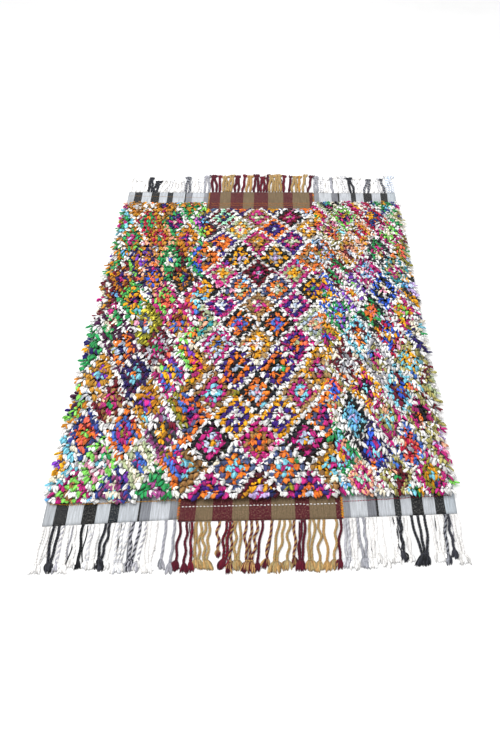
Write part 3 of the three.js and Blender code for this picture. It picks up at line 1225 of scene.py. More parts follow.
@dataclass(frozen=True)
class GroundCloth:
    """The woven ground of one panel: a thin sheet that lies on the floor."""

    plan: PanelPlan
    finish: StripedClothFinish
    slot: str
    flat_width: float
    flat_length: float
    thickness: float = 2.4
    ripple: float = 0.5
    lift: float = 0.3
    edge_gap: float = 0.4
    steps: tuple[int, int] = (40, 150)

    def build(self) -> bpy.types.Object:
        """Makes the sheet from a grid, moved to its place and given its thickness.

        Returns:
            The sheet.
        """
        mesh = bmesh.new()
        across, along = self.steps
        bmesh.ops.create_grid(mesh, x_segments=across, y_segments=along, size=0.5)
        layer = mesh.loops.layers.uv.new(CLOTH_MAP)
        shift = rug_shift()
        shares = {}
        for vertex in mesh.verts:
            share = vertex.co.x + 0.5
            near = lerp(*self.plan.cloth_near, share)
            far = lerp(*self.plan.cloth_far, share)
            y = lerp(near, far, vertex.co.y + 0.5)
            west = float(self.plan.west.x(y)) + self.edge_gap
            east = float(self.plan.east.x(y)) - self.edge_gap
            x = lerp(west, east, share)
            wave = 0.5 + 0.5 * math.sin(x * 0.045 + y * 0.02) * math.sin(y * 0.06 + x * 0.011)
            height = (self.lift + self.ripple * wave) * METRES
            vertex.co = (x * METRES + shift, y * METRES, height)
            shares[vertex] = (share, y * METRES)
        for face in mesh.faces:
            for loop in face.loops:
                loop[layer].uv = shares[loop.vert]
        bmesh.ops.solidify(mesh, geom=list(mesh.faces), thickness=-self.thickness * METRES)
        bmesh.ops.recalc_face_normals(mesh, faces=list(mesh.faces))
        data = bpy.data.meshes.new(f"cloth_{self.plan.name}")
        mesh.to_mesh(data)
        mesh.free()
        data.shade_smooth()
        piece = placed(data.name, data)
        dress(piece, self.finish.material())
        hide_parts(f"ground_{self.plan.name}")
        return piece


@dataclass(frozen=True)
class LockKind:
    """One of the locks of a knot, as a share of the room that the knot has.

    turn is its heading from the near end in radians, aside and behind its root's place from the
    knot, and tilt its angles from the upright at root and tip. Its length is reach steps of the
    lattice and length millimetres more.
    """

    turn: float
    aside: float
    behind: float
    tilt: tuple[float, float]
    reach: float
    length: float
    half_width: float
    half_height: float


PLUMP_TUFT = (
    LockKind(0.0, 0.0, 0.05, (0.6, 1.7), 1.1, 13.0, 0.46, 4.6),
    LockKind(-0.24, -0.3, -0.1, (0.65, 1.65), 0.9, 12.0, 0.33, 3.6),
    LockKind(0.24, 0.3, 0.1, (0.65, 1.65), 0.9, 12.0, 0.33, 3.6),
    LockKind(0.0, 0.0, 0.3, (0.3, 1.4), 0.42, 12.0, 0.56, 4.4),
)
LEAFY_TUFT = (
    LockKind(0.0, 0.0, 0.0, (0.8, 1.75), 1.15, 12.0, 0.46, 3.6),
    LockKind(-0.14, -0.32, 0.15, (0.75, 1.7), 1.0, 12.0, 0.38, 3.0),
    LockKind(0.14, 0.32, -0.15, (0.75, 1.7), 1.0, 12.0, 0.38, 3.0),
    LockKind(0.0, 0.0, 0.35, (0.45, 1.5), 0.4, 12.0, 0.5, 3.8),
)
STRINGY_TUFT = (
    LockKind(0.0, 0.05, 0.0, (0.75, 1.75), 1.15, 12.0, 0.42, 3.6),
    LockKind(-0.16, -0.34, 0.15, (0.75, 1.7), 1.0, 12.0, 0.36, 3.2),
    LockKind(0.16, 0.34, -0.15, (0.75, 1.7), 1.0, 12.0, 0.36, 3.2),
    LockKind(-0.08, -0.16, 0.4, (0.5, 1.55), 0.65, 12.0, 0.38, 3.4),
    LockKind(0.08, 0.16, 0.25, (0.4, 1.5), 0.4, 12.0, 0.46, 3.8),
)


@dataclass(frozen=True)
class PileNoise:
    """How far the tufts of a pile, and the locks in each tuft, differ by chance.

    A single number is the usual spread, and a pair is the least and the most. Angles are in
    radians and places in millimetres. Sizes, light and tint are shares of the whole.
    """

    tuft_heading: float = 0.13
    lock_heading: float = 0.091
    rim_splay: tuple[float, float] = (0.1, 0.75)
    curl: float = 0.195
    roll: float = 0.25
    root_tilt: tuple[float, float] = (-0.15, 0.15)
    tip_tilt: tuple[float, float] = (-0.2, 0.2)
    across: float = 0.8
    along: float = 1.5
    up: tuple[float, float] = (0.0, 1.5)
    tuft_width: float = 0.08
    length: tuple[float, float] = (0.86, 1.12)
    width: tuple[float, float] = (0.9, 1.1)
    height: tuple[float, float] = (0.85, 1.15)
    tuft_light: float = 0.1
    lock_light: float = 0.14
    tint: float = 0.006


@dataclass(frozen=True)
class Pile:
    """The deep pile of one panel, with a few locks of yarn in every knot.

    Tufts of pale yarn are wider by pale_extra, and those at the rug's long edges are shorter by
    rim_cut, both as shares.
    """

    lattice: TuftLattice
    tuft: tuple[LockKind, ...]
    bead: Bead = LOCK
    noise: PileNoise = PileNoise()
    pale_extra: float = 0.1
    rim_cut: float = 0.3
    seed: int = 5
    parts: int = 2

    def build(self) -> list[bpy.types.Object]:
        """Makes the pile in parts along the panel.

        Returns:
            The parts, from the near end.
        """
        knots = self.lattice.knots()
        name = self.lattice.plan.name
        y = knots.places[:, 1]
        cuts = np.linspace(y.min(), y.max() + 1, self.parts + 1)
        pieces = []
        for number in range(self.parts):
            chosen = knots.part((y >= cuts[number]) & (y < cuts[number + 1]))
            locks = self._locks(chosen, number)
            label = f"pile_{name}_{number + 1}"
            piece = self.bead.joined(label, locks.points(self.bead), locks.colour)
            finish = YarnFinish(f"{name} pile yarn {number + 1}", tiles_a_side(len(locks.length)))
            dress(piece, finish.material())
            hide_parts(f"pile_{name}")
            pieces.append(piece)
        return pieces

    def _locks(self, knots: Knots, number: int) -> Locks:
        """The locks of yarn of some knots, leaning towards the near end and fanned out.

        Args:
            knots: The knots.
            number: Which part of the pile they are, which seeds their unevenness.

        Returns:
            The locks, knot by knot.
        """
        rng = np.random.default_rng(self.seed * 100 + number)
        noise = self.noise
        count = len(knots.places)
        rows = np.repeat(np.arange(count), len(self.tuft))
        size = len(rows)

        def each(name: str) -> np.ndarray:
            """One size of every lock's kind."""
            return np.tile([getattr(kind, name) for kind in self.tuft], count)

        tilts = np.tile([kind.tilt for kind in self.tuft], (count, 1))
        pitch, step = knots.rooms[rows, 0], knots.rooms[rows, 1]
        west, east = knots.rims[rows].T
        heading = -math.pi / 2 + each("turn") + rng.normal(0, noise.tuft_heading, count)[rows]
        heading = heading + rng.normal(0, noise.lock_heading, size)
        heading = heading + (east - west) * rng.uniform(*noise.rim_splay, size)
        x = knots.places[rows, 0] + each("aside") * pitch + rng.normal(0, noise.across, size)
        y = knots.places[rows, 1] + each("behind") * step + rng.normal(0, noise.along, size)
        z = CLOTH_TOP + rng.uniform(*noise.up, size)
        tuft_width = rng.normal(1.0, noise.tuft_width, count) + self.pale_extra * knots.pale
        room = pitch * each("half_width") * tuft_width[rows]
        length = (each("reach") * step + each("length")) * rng.uniform(*noise.length, size)
        light = 1 + rng.normal(0, noise.tuft_light, (count, 1))[rows]
        light = light + rng.normal(0, noise.lock_light, (size, 1))
        tint = rng.normal(0, noise.tint, (size, 3))
        return Locks(
            root=np.stack([x, y, z], axis=1),
            heading=heading,
            curl=rng.normal(0, noise.curl, size),
            tilt_root=tilts[:, 0] + rng.uniform(*noise.root_tilt, size),
            tilt_tip=tilts[:, 1] + rng.uniform(*noise.tip_tilt, size),
            length=length * (1 - self.rim_cut * (east + west)),
            half_width=room * rng.uniform(*noise.width, size),
            half_height=each("half_height") * rng.uniform(*noise.height, size),
            roll=rng.normal(0, noise.roll, size),
            colour=np.clip(knots.colours[rows] * light + tint, DARKEST, PALEST),
        )


# Fringe bunches: x of the first and last root, strands, x of the knot, x and y of the tail's tip,
# and the two yarns that each strand is twisted from.
NEAR_LEFT = (
    (-738, -719, 2, -731, -735, -1263, "wh wh"), (-702, -684, 2, -689, -683, -1258, "bk ch"),
    (-669, -669, 1, -664, -662, -1259, "wh gy"), (-648, -648, 1, -638, -634, -1263, "wh wh"),
    (-627, -627, 1, -614, -607, -1238, "wh wh"), (-600, -600, 1, -592, -588, -1244, "bk bk"),
    (-576, -576, 1, -562, -559, -1246, "wh pg"), (-545, -545, 1, -542, -541, -1245, "wh wh"),
    (-519, -506, 2, -517, -513, -1249, "bk ch"), (-490, -490, 1, -494, -492, -1246, "wh wh"),
    (-473, -435, 3, -455, -455, -1261, "wh pg"), (-421, -397, 2, -411, -417, -1252, "gy ch"),
    (-376, -376, 1, -387, -390, -1255, "gy wh"), (-359, -338, 2, -349, -348, -1259, "wh wh"),
    (-306, -306, 1, -307, -300, -1245, "st gy"), (-275, -275, 1, -275, -279, -1262, "gy st"),
)
NEAR_CENTRE = (
    (-255, -255, 1, -254, -257, -1250, "bu bu"), (-231, -231, 1, -228, -226, -1262, "bu bu"),
    (-213, -213, 1, -206, -198, -1254, "bu ma"), (-195, -181, 2, -184, -174, -1244, "tn sw"),
    (-163, -151, 2, -155, -137, -1248, "tn sw"), (-114, -114, 1, -114, -112, -1200, "bu tn"),
    (-88, -76, 2, -88, -102, -1244, "bu ma"), (-64, -64, 1, -68, -70, -1260, "bu tn"),
    (-54, -42, 2, -46, -44, -1250, "tn sw"), (-18, 20, 3, -3, -7, -1258, "bu tn"),
    (40, 40, 1, 25, 22, -1260, "bu bu"), (74, 74, 1, 58, 50, -1242, "tn bu"),
    (101, 118, 2, 88, 86, -1258, "sw tn"), (138, 138, 1, 128, 121, -1252, "tn sw"),
    (153, 153, 1, 150, 150, -1236, "tn bu"), (181, 190, 2, 175, 174, -1250, "bu bu"),
    (210, 223, 2, 208, 210, -1252, "tn sw"), (242, 242, 1, 240, 235, -1254, "sw tn"),
    (260, 260, 1, 264, 256, -1254, "tn tn"), (304, 304, 1, 290, 281, -1248, "tn sw"),
    (320, 320, 1, 310, 302, -1246, "bu bu"),
)
NEAR_RIGHT = (
    (336, 344, 2, 338, 331, -1239, "gy pg"), (358, 368, 2, 361, 359, -1246, "wh wh"),
    (381, 401, 2, 395, 397, -1241, "gy st"), (417, 431, 2, 422, 424, -1241, "wh wh"),
    (445, 445, 1, 444, 442, -1221, "wh wh"), (465, 465, 1, 467, 467, -1240, "wh wh"),
    (493, 514, 2, 501, 502, -1223, "wh wh"), (534, 534, 1, 532, 529, -1216, "bk ch"),
    (553, 553, 1, 555, 557, -1218, "wh wh"), (576, 622, 3, 603, 592, -1232, "bk ch"),
    (645, 682, 3, 659, 656, -1218, "wh wh"), (697, 697, 1, 684, 680, -1228, "ch st"),
    (709, 709, 1, 708, 707, -1204, "ch ch"), (726, 738, 2, 733, 737, -1226, "wh wh"),
)
FAR_LEFT = (
    (-737, -737, 1, -748, -748, 1233, "wh wh"), (-712, -712, 1, -727, -728, 1205, "wh wh"),
    (-690, -690, 1, -704, -707, 1206, "wh wh"), (-669, -655, 2, -664, -664, 1236, "wh wh"),
    (-638, -624, 2, -637, -638, 1232, "bk ch"), (-610, -597, 2, -598, -588, 1190, "bk ch"),
    (-579, -579, 1, -560, -555, 1210, "wh wh"), (-558, -558, 1, -534, -530, 1206, "wh wh"),
    (-527, -527, 1, -518, -516, 1200, "wh pg"), (-500, -500, 1, -502, -501, 1185, "wh wh"),
    (-482, -462, 2, -475, -474, 1186, "wh wh"), (-445, -445, 1, -452, -453, 1195, "wh pg"),
    (-428, -411, 2, -423, -429, 1238, "ch st"), (-388, -366, 2, -381, -382, 1232, "wh wh"),
    (-345, -345, 1, -357, -360, 1186, "wh pg"), (-324, -324, 1, -328, -322, 1250, "st gy"),
    (-300, -300, 1, -312, -309, 1252, "gy st"),
)
FAR_CENTRE = (
    (-277, -257, 2, -280, -283, 1257, "bu bu"), (-238, -238, 1, -246, -243, 1254, "bu ma"),
    (-217, -203, 2, -213, -213, 1245, "tn sw"), (-189, -176, 2, -176, -172, 1258, "tn sw"),
    (-152, -134, 2, -142, -142, 1252, "bu bu"), (-111, -111, 1, -102, -99, 1262, "bu ma"),
    (-87, -67, 2, -71, -67, 1252, "tn tn"), (-45, -22, 2, -32, -32, 1263, "bu bu"),
    (-6, 10, 2, 3, 2, 1240, "bu ma"), (26, 26, 1, 31, 36, 1263, "bu bu"),
    (43, 60, 2, 54, 56, 1259, "tn sw"), (76, 106, 3, 91, 93, 1263, "sw tn"),
    (122, 122, 1, 124, 125, 1256, "bu ma"), (153, 153, 1, 162, 167, 1250, "bu bu"),
    (171, 193, 2, 186, 187, 1244, "tn sw"), (211, 211, 1, 213, 215, 1248, "tn oc"),
    (232, 232, 1, 243, 251, 1263, "sw tn"), (259, 259, 1, 278, 288, 1254, "bu bu"),
)
FAR_RIGHT = (
    (298, 311, 2, 308, 312, 1242, "gy st"), (327, 341, 2, 337, 343, 1232, "wh pg"),
    (355, 369, 2, 363, 371, 1226, "wh wh"), (401, 401, 1, 395, 394, 1228, "gy st"),
    (430, 451, 2, 422, 421, 1246, "wh wh"), (468, 484, 2, 459, 459, 1247, "wh pg"),
    (502, 518, 2, 500, 503, 1228, "bk ch"), (533, 553, 2, 545, 546, 1228, "wh wh"),
    (578, 600, 2, 605, 613, 1211, "ch st"), (628, 652, 2, 637, 640, 1215, "wh wh"),
    (671, 671, 1, 659, 662, 1222, "wh pg"), (694, 694, 1, 682, 680, 1216, "ch st"),
    (712, 741, 3, 724, 727, 1243, "wh ic"),
)


@dataclass(frozen=True)
class Bunch:
    """One bunch of fringe strands that share a knot and a tail."""

    first: float
    last: float
    strands: int
    knot: float
    tip_x: float
    tip_y: float
    yarns: str

    @property
    def plies(self) -> list[np.ndarray]:
        """The colours of the two plies of each strand."""
        return [YARN_BY_CODE[code].linear for code in self.yarns.split()]


@dataclass(frozen=True)
class Strand:
    """One strand of a bunch: where its root, knot and tail's tip are, and how it wanders.

    pitch is the room of its tail, and knot_at the share of its length at which its knot is.
    """

    bunch: Bunch
    root: tuple[float, float]
    knot: float
    tip: float
    pitch: float
    knot_at: float
    bow: float
    phase: float
    wobble: float
    waves: float

    def middle(self, at: np.ndarray) -> np.ndarray:
        """The middle of the strand.

        Args:
            at: Shares along it, from its root to the tip of its tail.

        Returns:
            The points there, as points by three.
        """
        to_knot = np.clip(at / self.knot_at, 0, 1)
        beyond = np.clip(at - self.knot_at, 0, 1) / (1 - self.knot_at)
        eased = to_knot * to_knot * (3 - 2 * to_knot)
        half_wave = np.sin(math.pi * to_knot)
        x = lerp(self.root[0], self.knot, eased) + self.bow * half_wave
        x = x + self.wobble * np.sin(self.waves * FULL_TURN * to_knot + self.phase) * half_wave
        x = x + beyond * (self.tip - self.knot)
        root_height, rise, risen_at = 3.0, 1.3, 1 / 1.4
        z = root_height + rise * np.sin(math.pi * np.clip(to_knot / risen_at, 0, 1) / 2)
        return np.stack([x, lerp(self.root[1], self.bunch.tip_y, at), z], axis=1)


@dataclass
class FringeThreads:
    """The threads of a fringe by what they are, each to become one piece."""

    cords: Runs = field(default_factory=Runs)
    knots: Runs = field(default_factory=Runs)
    tails: Runs = field(default_factory=Runs)
    wisps: Runs = field(default_factory=Runs)


# The bead of each kind of fringe thread, and its fibres, slubs, painted root shade and unevenness.
FRINGE_LOOKS = {
    "cords": (PLY, 5.0, 60.0, 0.9, 0.3),
    "knots": (KNOT_LOBE, 8.0, 3.0, 0.9, 0.35),
    "tails": (LOCK, 8.0, 3.0, 0.85, 0.4),
    "wisps": (WISP, 5.0, 30.0, 0.9, 0.68),
}


@dataclass(frozen=True)
class Fringe:
    """The fringe at one end of a panel: twisted strands, their knots and their loose tails.

    rows holds its bunches as the tables above give them. A strand's two plies stand ply_offset
    from its middle and turn once in every twist millimetres. It starts root_set beyond the
    cloth's edge, and wisps is how many loose warps lie between the strands.
    """

    plan: PanelPlan
    end: End
    rows: tuple[tuple, ...]
    slot: str
    ply_radius: float = 3.5
    ply_offset: float = 2.4
    knot_at: float = 0.76
    knot_pitch: float = 9.8
    root_set: float = 2.8
    twist: float = 24.0
    tail_locks: int = 8
    wisps: int = 0
    seed: int = 11
    wobble: float = 4.0

    def build(self) -> list[bpy.types.Object]:
        """Makes the cords, and the roots, knots, tails and loose warps that go with them.

        Returns:
            The pieces.
        """
        rng = np.random.default_rng(self.seed)
        bunches = [Bunch(*row) for row in self.rows]
        threads = FringeThreads()
        for index, bunch in enumerate(bunches):
            spread = self._tail_spread(bunches, index)
            for number in range(bunch.strands):
                strand = self._strand(bunch, spread, number, rng)
                self._cord(strand, rng, threads.cords)
                self._knot(strand, rng, threads.knots)
                self._tail(strand, rng, threads.tails)
                self._roots(strand, rng, threads.tails)
        self._loose_warps(bunches, rng, threads.wisps)
        name = f"{self.plan.name}_{self.end.name.lower()}"
        pieces = []
        for kind, (bead, *fibres) in FRINGE_LOOKS.items():
            runs = getattr(threads, kind)
            piece = runs.joined(bead, f"fringe_{name}_{kind}")
            yarn = YarnFinish(f"{name} fringe {kind}", tiles_a_side(len(runs.points)), *fibres)
            dress(piece, yarn.material())
            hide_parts(f"fringe_{name}")
            pieces.append(piece)
        return pieces

    @staticmethod
    def _tail_spread(bunches: list[Bunch], index: int) -> float:
        """How wide a bunch's tails spread at their tips, clear of the bunches beside it.

        Args:
            bunches: The fringe's bunches, from the west.
            index: Which of them.

        Returns:
            The width in millimetres.
        """
        one_strand, more_strands, gap = 24.0, 20.0, 1.0
        bunch = bunches[index]
        rooms = [one_strand if bunch.strands == 1 else bunch.strands * more_strands]
        for other in bunches[max(index - 1, 0):index] + bunches[index + 1:index + 2]:
            apart = abs(other.tip_x - bunch.tip_x) - gap
            rooms.append(2 * apart * bunch.strands / (bunch.strands + other.strands))
        return min(rooms)

    def _strand(
        self, bunch: Bunch, spread: float, number: int, rng: np.random.Generator
    ) -> Strand:
        """Places one strand of a bunch.

        Args:
            bunch: The bunch.
            spread: How wide the bunch's tails spread.
            number: Which strand of the bunch it is.
            rng: The seeded source of how it wanders.

        Returns:
            The strand.
        """
        alone = bunch.strands == 1
        middle = number - (bunch.strands - 1) / 2
        root = lerp(bunch.first, bunch.last, 0.0 if alone else number / (bunch.strands - 1))
        pitch = (spread + 1.0) / bunch.strands
        return Strand(
            bunch=bunch,
            root=(root, self.plan.end_y(self.end, root) + self.end.value * self.root_set),
            knot=bunch.knot + middle * self.knot_pitch,
            tip=bunch.tip_x + middle * pitch,
            pitch=pitch,
            knot_at=self.knot_at,
            bow=3 * (math.sin(root) if alone else float(np.sign(middle))),
            phase=rng.uniform(0, FULL_TURN),
            wobble=rng.uniform(0.2, 1.0) * self.wobble,
            waves=rng.uniform(0.7, 2.0),
        )

    def _cord(self, strand: Strand, rng: np.random.Generator, cords: Runs) -> None:
        """Adds a strand's two plies, twisted round each other down to its knot.

        Args:
            strand: The strand.
            rng: The seeded source of the plies' shades.
            cords: Takes the plies.
        """
        turns = abs(strand.bunch.tip_y - strand.root[1]) * self.knot_at / self.twist
        lowest = self.ply_radius * 0.9 + 0.2
        for ply, colour in enumerate(strand.bunch.plies):

            def ply_line(share: np.ndarray, ply: int = ply) -> np.ndarray:
                """The middle of the ply.

                Args:
                    share: Shares along it.

                Returns:
                    The points there, as points by three.
                """
                line = strand.middle(share * self.knot_at)
                angle = FULL_TURN * turns * share + ply * math.pi + strand.phase
                offset = self.ply_offset * np.clip(share * 12, 0.15, 1)
                line[:, 0] += offset * np.cos(angle)
                line[:, 2] += offset * np.sin(angle)
                line[:, 2] = np.maximum(line[:, 2], lowest)
                return line

            shade = uneven_colour(colour, rng, 0.06)
            cords.lay(PLY, ply_line, even_girth, (self.ply_radius, self.ply_radius), shade)

    def _knot(self, strand: Strand, rng: np.random.Generator, knots: Runs) -> None:
        """Adds an overhand knot: two short lobes that cross.

        Args:
            strand: The strand that it is tied in.
            rng: The seeded source of its slant.
            knots: Takes the lobes.
        """
        centre = strand.middle(np.array([self.knot_at]))[0]
        length, height = 13.0, 3.6
        for rise, turn, colour in zip((0.96, 1.6), (-0.75, 0.75), strand.bunch.plies):
            slant = turn + rng.normal(0, 0.1)
            ahead = np.array([math.sin(slant), self.end.value * math.cos(slant), 0.0])

            def lobe_line(share: np.ndarray) -> np.ndarray:
                """The middle of the lobe.

                Args:
                    share: Shares along it.

                Returns:
                    The points there, as points by three.
                """
                line = centre[None, :] + ((share - 0.5) * length)[:, None] * ahead[None, :]
                line[:, 2] = height + rise * np.sin(math.pi * share)
                return line

            knots.lay(KNOT_LOBE, lobe_line, swelling_girth, (4.3, 3.3), colour)

    def _tail(self, strand: Strand, rng: np.random.Generator, tails: Runs) -> None:
        """Adds the loose tail below the knot: locks that fan out to its width.

        Args:
            strand: The strand whose tail it is.
            rng: The seeded source of the locks' places and shades.
            tails: Takes the locks.
        """
        bunch = strand.bunch
        knot_width, tip_width = 5.0, 1.15 * strand.pitch
        knot_height, tip_height = 4.2, 2.0
        start_y = lerp(strand.root[1], bunch.tip_y, self.knot_at)
        for number in range(self.tail_locks):
            fan = (number / (self.tail_locks - 1) - 0.5) + rng.normal(0, 0.13)
            end_x = strand.tip + fan * tip_width
            start_x = strand.knot + fan * knot_width
            end_y = lerp(start_y, bunch.tip_y, rng.uniform(0.72, 1.0))
            bend = rng.normal(0, 4.0)
            lift = rng.uniform(2.6, 5.0)

            def tail_line(share: np.ndarray) -> np.ndarray:
                """The middle of the lock.

                Args:
                    share: Shares along it.

                Returns:
                    The points there, as points by three.
                """
                arch = np.sin(math.pi * share)
                x = lerp(start_x, end_x, share ** 0.8) + bend * arch
                z = lerp(knot_height, tip_height, share) + lift * arch / 2
                return np.stack([x, lerp(start_y, end_y, share), z], axis=1)

            colour = uneven_colour(bunch.plies[number % 2], rng, 0.2)
            tails.lay(LOCK, tail_line, lock_girth, (4.4, 2.9), colour)

    def _roots(self, strand: Strand, rng: np.random.Generator, tails: Runs) -> None:
        """Adds the warps that gather from the cloth's edge into the strand.

        Args:
            strand: The strand.
            rng: The seeded source of the warps' shades.
            tails: Takes the warps.
        """
        root, root_y = strand.root
        out = self.end.value
        half_room, half_gathered, inside, beyond = 5.5, 0.8, 3.4, 15.0
        for fan in (-1.0, -0.35, 0.35, 1.0):
            start = np.array([root + fan * half_room, root_y - out * inside, 1.9])
            end = np.array([root + fan * half_gathered, root_y + out * beyond, 3.6])
            colour = uneven_colour(strand.bunch.plies[0 if fan < 0 else 1], rng, 0.08)
            tails.lay(LOCK, straight_line(start, end), even_girth, (1.5, 1.35), colour)

    def _loose_warps(
        self, bunches: list[Bunch], rng: np.random.Generator, wisps: Runs
    ) -> None:
        """Adds warps that were left out of the strands, lying loose between them.

        Args:
            bunches: The fringe's bunches, from the west.
            rng: The seeded source of the warps' places, shapes and shades.
            wisps: Takes the warps.
        """
        out = self.end.value
        length = abs(float(np.mean([bunch.tip_y for bunch in bunches]))) + CLOTH_START
        for _ in range(self.wisps):
            root = rng.uniform(bunches[0].first, bunches[-1].last)
            start = self.plan.end_y(self.end, root) + out * 1.5
            reach = rng.uniform(0.55, 0.95) * length
            sway, phase = rng.uniform(3.0, 7.0), rng.uniform(0, FULL_TURN)
            drift = rng.normal(0, 8.0)

            def warp_line(share: np.ndarray) -> np.ndarray:
                """The middle of the warp.

                Args:
                    share: Shares along it.

                Returns:
                    The points there, as points by three.
                """
                wave = np.sin(share * 9.0 + phase) - math.sin(phase)
                x = root + drift * share + sway * wave * share
                z = 2.4 + 1.4 * np.sin(math.pi * share) * np.sin(share * 5.0) ** 2
                return np.stack([x, start + out * reach * share, z], axis=1)

            model = bunches[int(rng.integers(len(bunches)))]
            shade = uneven_colour(model.plies[0], rng, 0.06)
            radius = rng.uniform(1.7, 2.6)
            wisps.lay(WISP, warp_line, even_girth, (radius, 0.8 * radius), shade)


@dataclass(frozen=True)
class StitchRow:
    """A row of stitches across a flat band: its ends, how far apart they are, and its yarns."""

    start: tuple[float, float]
    end: tuple[float, float]
    pitch: float
    length: float
    yarns: tuple[str, ...]
    half_width: float = 1.0


@dataclass(frozen=True)
class SeamStitches:
    """The overcast stitches that join two panels along part of a seam."""

    seam: LongEdge
    start: float
    end: float
    yarns: tuple[str, ...]
    pitch: float = 5.0
    reach: float = 6.5
    slant: float = 3.4
    half_width: float = 1.7


@dataclass(frozen=True)
class SelvedgeCord:
    """A bare selvedge that shows between two piles along part of a seam."""

    seam: LongEdge
    start: float
    end: float
    offset: float
    height: float
    yarn: str
    radius: float = 3.0


@dataclass(frozen=True)
class Sewing:
    """All the stitching on one panel's bands and beside it, as one piece."""

    name: str
    rows: tuple[StitchRow, ...]
    seams: tuple[SeamStitches, ...]
    slot: str
    selvedges: tuple[SelvedgeCord, ...] = ()
    seed: int = 23

    def build(self) -> list[bpy.types.Object]:
        """Makes the stitches as short threads that lie on the cloth, and the selvedges.

        Returns:
            The stitches as one piece, and the selvedges as another where there are any.
        """
        rng = np.random.default_rng(self.seed)
        stitches, selvedges = Runs(), Runs()
        for row in self.rows:
            self._row(row, stitches, rng)
        for seam in self.seams:
            self._seam(seam, stitches, rng)
        for cord in self.selvedges:
            self._selvedge(cord, selvedges)
        pieces = [self._piece(stitches, LOCK, "stitches", fibres=6.0)]
        if self.selvedges:
            pieces.append(self._piece(selvedges, PLY, "selvedge", fibres=5.0, slubs=60.0))
        return pieces

    def _piece(self, runs: Runs, bead: Bead, kind: str, **fibres: float) -> bpy.types.Object:
        """Joins threads into one piece with its finish.

        Args:
            runs: The threads.
            bead: The bead that they were stretched from.
            kind: What they are.
            fibres: Values of the finish that aren't its usual ones.

        Returns:
            The piece.
        """
        piece = runs.joined(bead, f"{kind}_{self.name}")
        tiles = tiles_a_side(len(runs.points))
        # A little painted shade at the root of each stitch and selvedge.
        finish = YarnFinish(f"{self.name} {kind}", tiles, root_shade=0.9, **fibres)
        dress(piece, finish.material())
        return piece

    def _selvedge(self, cord: SelvedgeCord, runs: Runs) -> None:
        """Lays one bare selvedge along its seam.

        Args:
            cord: The selvedge.
            runs: Takes it.
        """
        def line(share: np.ndarray) -> np.ndarray:
            """The middle of the selvedge.

            Args:
                share: Shares along it.

            Returns:
                The points there, as points by three.
            """
            y = lerp(cord.start, cord.end, share)
            x = cord.seam.x(y) + cord.offset + 1.5 * np.sin(share * 40.0)
            z = cord.height * np.sin(math.pi * np.clip(share * 8, 0, 0.5)) + 3.0
            z = z * np.clip((1 - share) * 16 + 0.3, 0, 1)
            return np.stack([x, y, np.maximum(z, cord.radius + 0.4)], axis=1)

        colour = YARN_BY_CODE[cord.yarn].linear
        runs.lay(PLY, line, even_girth, (cord.radius, cord.radius), colour)

    def _row(self, row: StitchRow, runs: Runs, rng: np.random.Generator) -> None:
        """Lays a running row of stitches.

        Args:
            row: The row.
            runs: Takes its stitches.
            rng: The seeded source of their places and lengths.
        """
        start, end = np.array(row.start), np.array(row.end)
        ahead = (end - start) / np.linalg.norm(end - start)
        count = int(np.linalg.norm(end - start) / row.pitch)
        for number in range(count):
            centre = start + ahead * (number + 0.5) * row.pitch
            centre[1] += rng.normal(0, 0.6)
            half = ahead * row.length / 2 * rng.uniform(0.85, 1.1)
            code = row.yarns[number % len(row.yarns)]
            self._stitch(centre, half, row.half_width, code, runs)

    def _seam(self, seam: SeamStitches, runs: Runs, rng: np.random.Generator) -> None:
        """Lays slanted stitches over a seam.

        Args:
            seam: The part of the seam.
            runs: Takes its stitches.
            rng: The seeded source of their slants, lengths and yarns.
        """
        count = int(abs(seam.end - seam.start) / seam.pitch)
        for number in range(count):
            y = lerp(seam.start, seam.end, (number + 0.5) / count)
            lean = seam.slant * (1 if number % 2 else -1) + rng.normal(0, 0.5)
            half = np.array([seam.reach * rng.uniform(0.8, 1.05), lean])
            centre = np.array([float(seam.seam.x(y)), y])
            code = seam.yarns[int(rng.integers(len(seam.yarns)))]
            self._stitch(centre, half, seam.half_width, code, runs)

    @staticmethod
    def _stitch(
        centre: np.ndarray, half: np.ndarray, half_width: float, code: str, runs: Runs
    ) -> None:
        """Lays one stitch: a thread that rises out of the cloth and goes back in.

        Args:
            centre: The x and y of its middle.
            half: The way from its middle to its end.
            half_width: Half its width.
            code: The short name of its yarn.
            runs: Takes it.
        """
        across = straight_line(centre - half, centre + half)

        def line(share: np.ndarray) -> np.ndarray:
            """The middle of the stitch.

            Args:
                share: Shares along it.

            Returns:
                The points there, as points by three.
            """
            z = 2.5 + 1.3 * np.sin(math.pi * share)
            return np.column_stack([across(share), z])

        colour = YARN_BY_CODE[code].linear
        runs.lay(LOCK, line, even_girth, (half_width, 0.8 * half_width), colour)


@dataclass(frozen=True)
class Panel:
    """One panel of the rug: its ground, pile, fringes and stitching."""

    ground: GroundCloth
    pile: Pile
    fringes: tuple[Fringe, ...]
    sewing: Sewing

    def build(self, floor: bpy.types.Object) -> None:
        """Builds the panel and logs how many faces each of its pieces has.

        Args:
            floor: What the panel lies on. It is not used.
        """
        cloth = self.ground.build()
        others = self.pile.build()
        for fringe in self.fringes:
            others += fringe.build()
        others += self.sewing.build()
        for piece in [cloth, *others]:
            log.info("%s: %d faces", piece.name, len(piece.data.polygons))


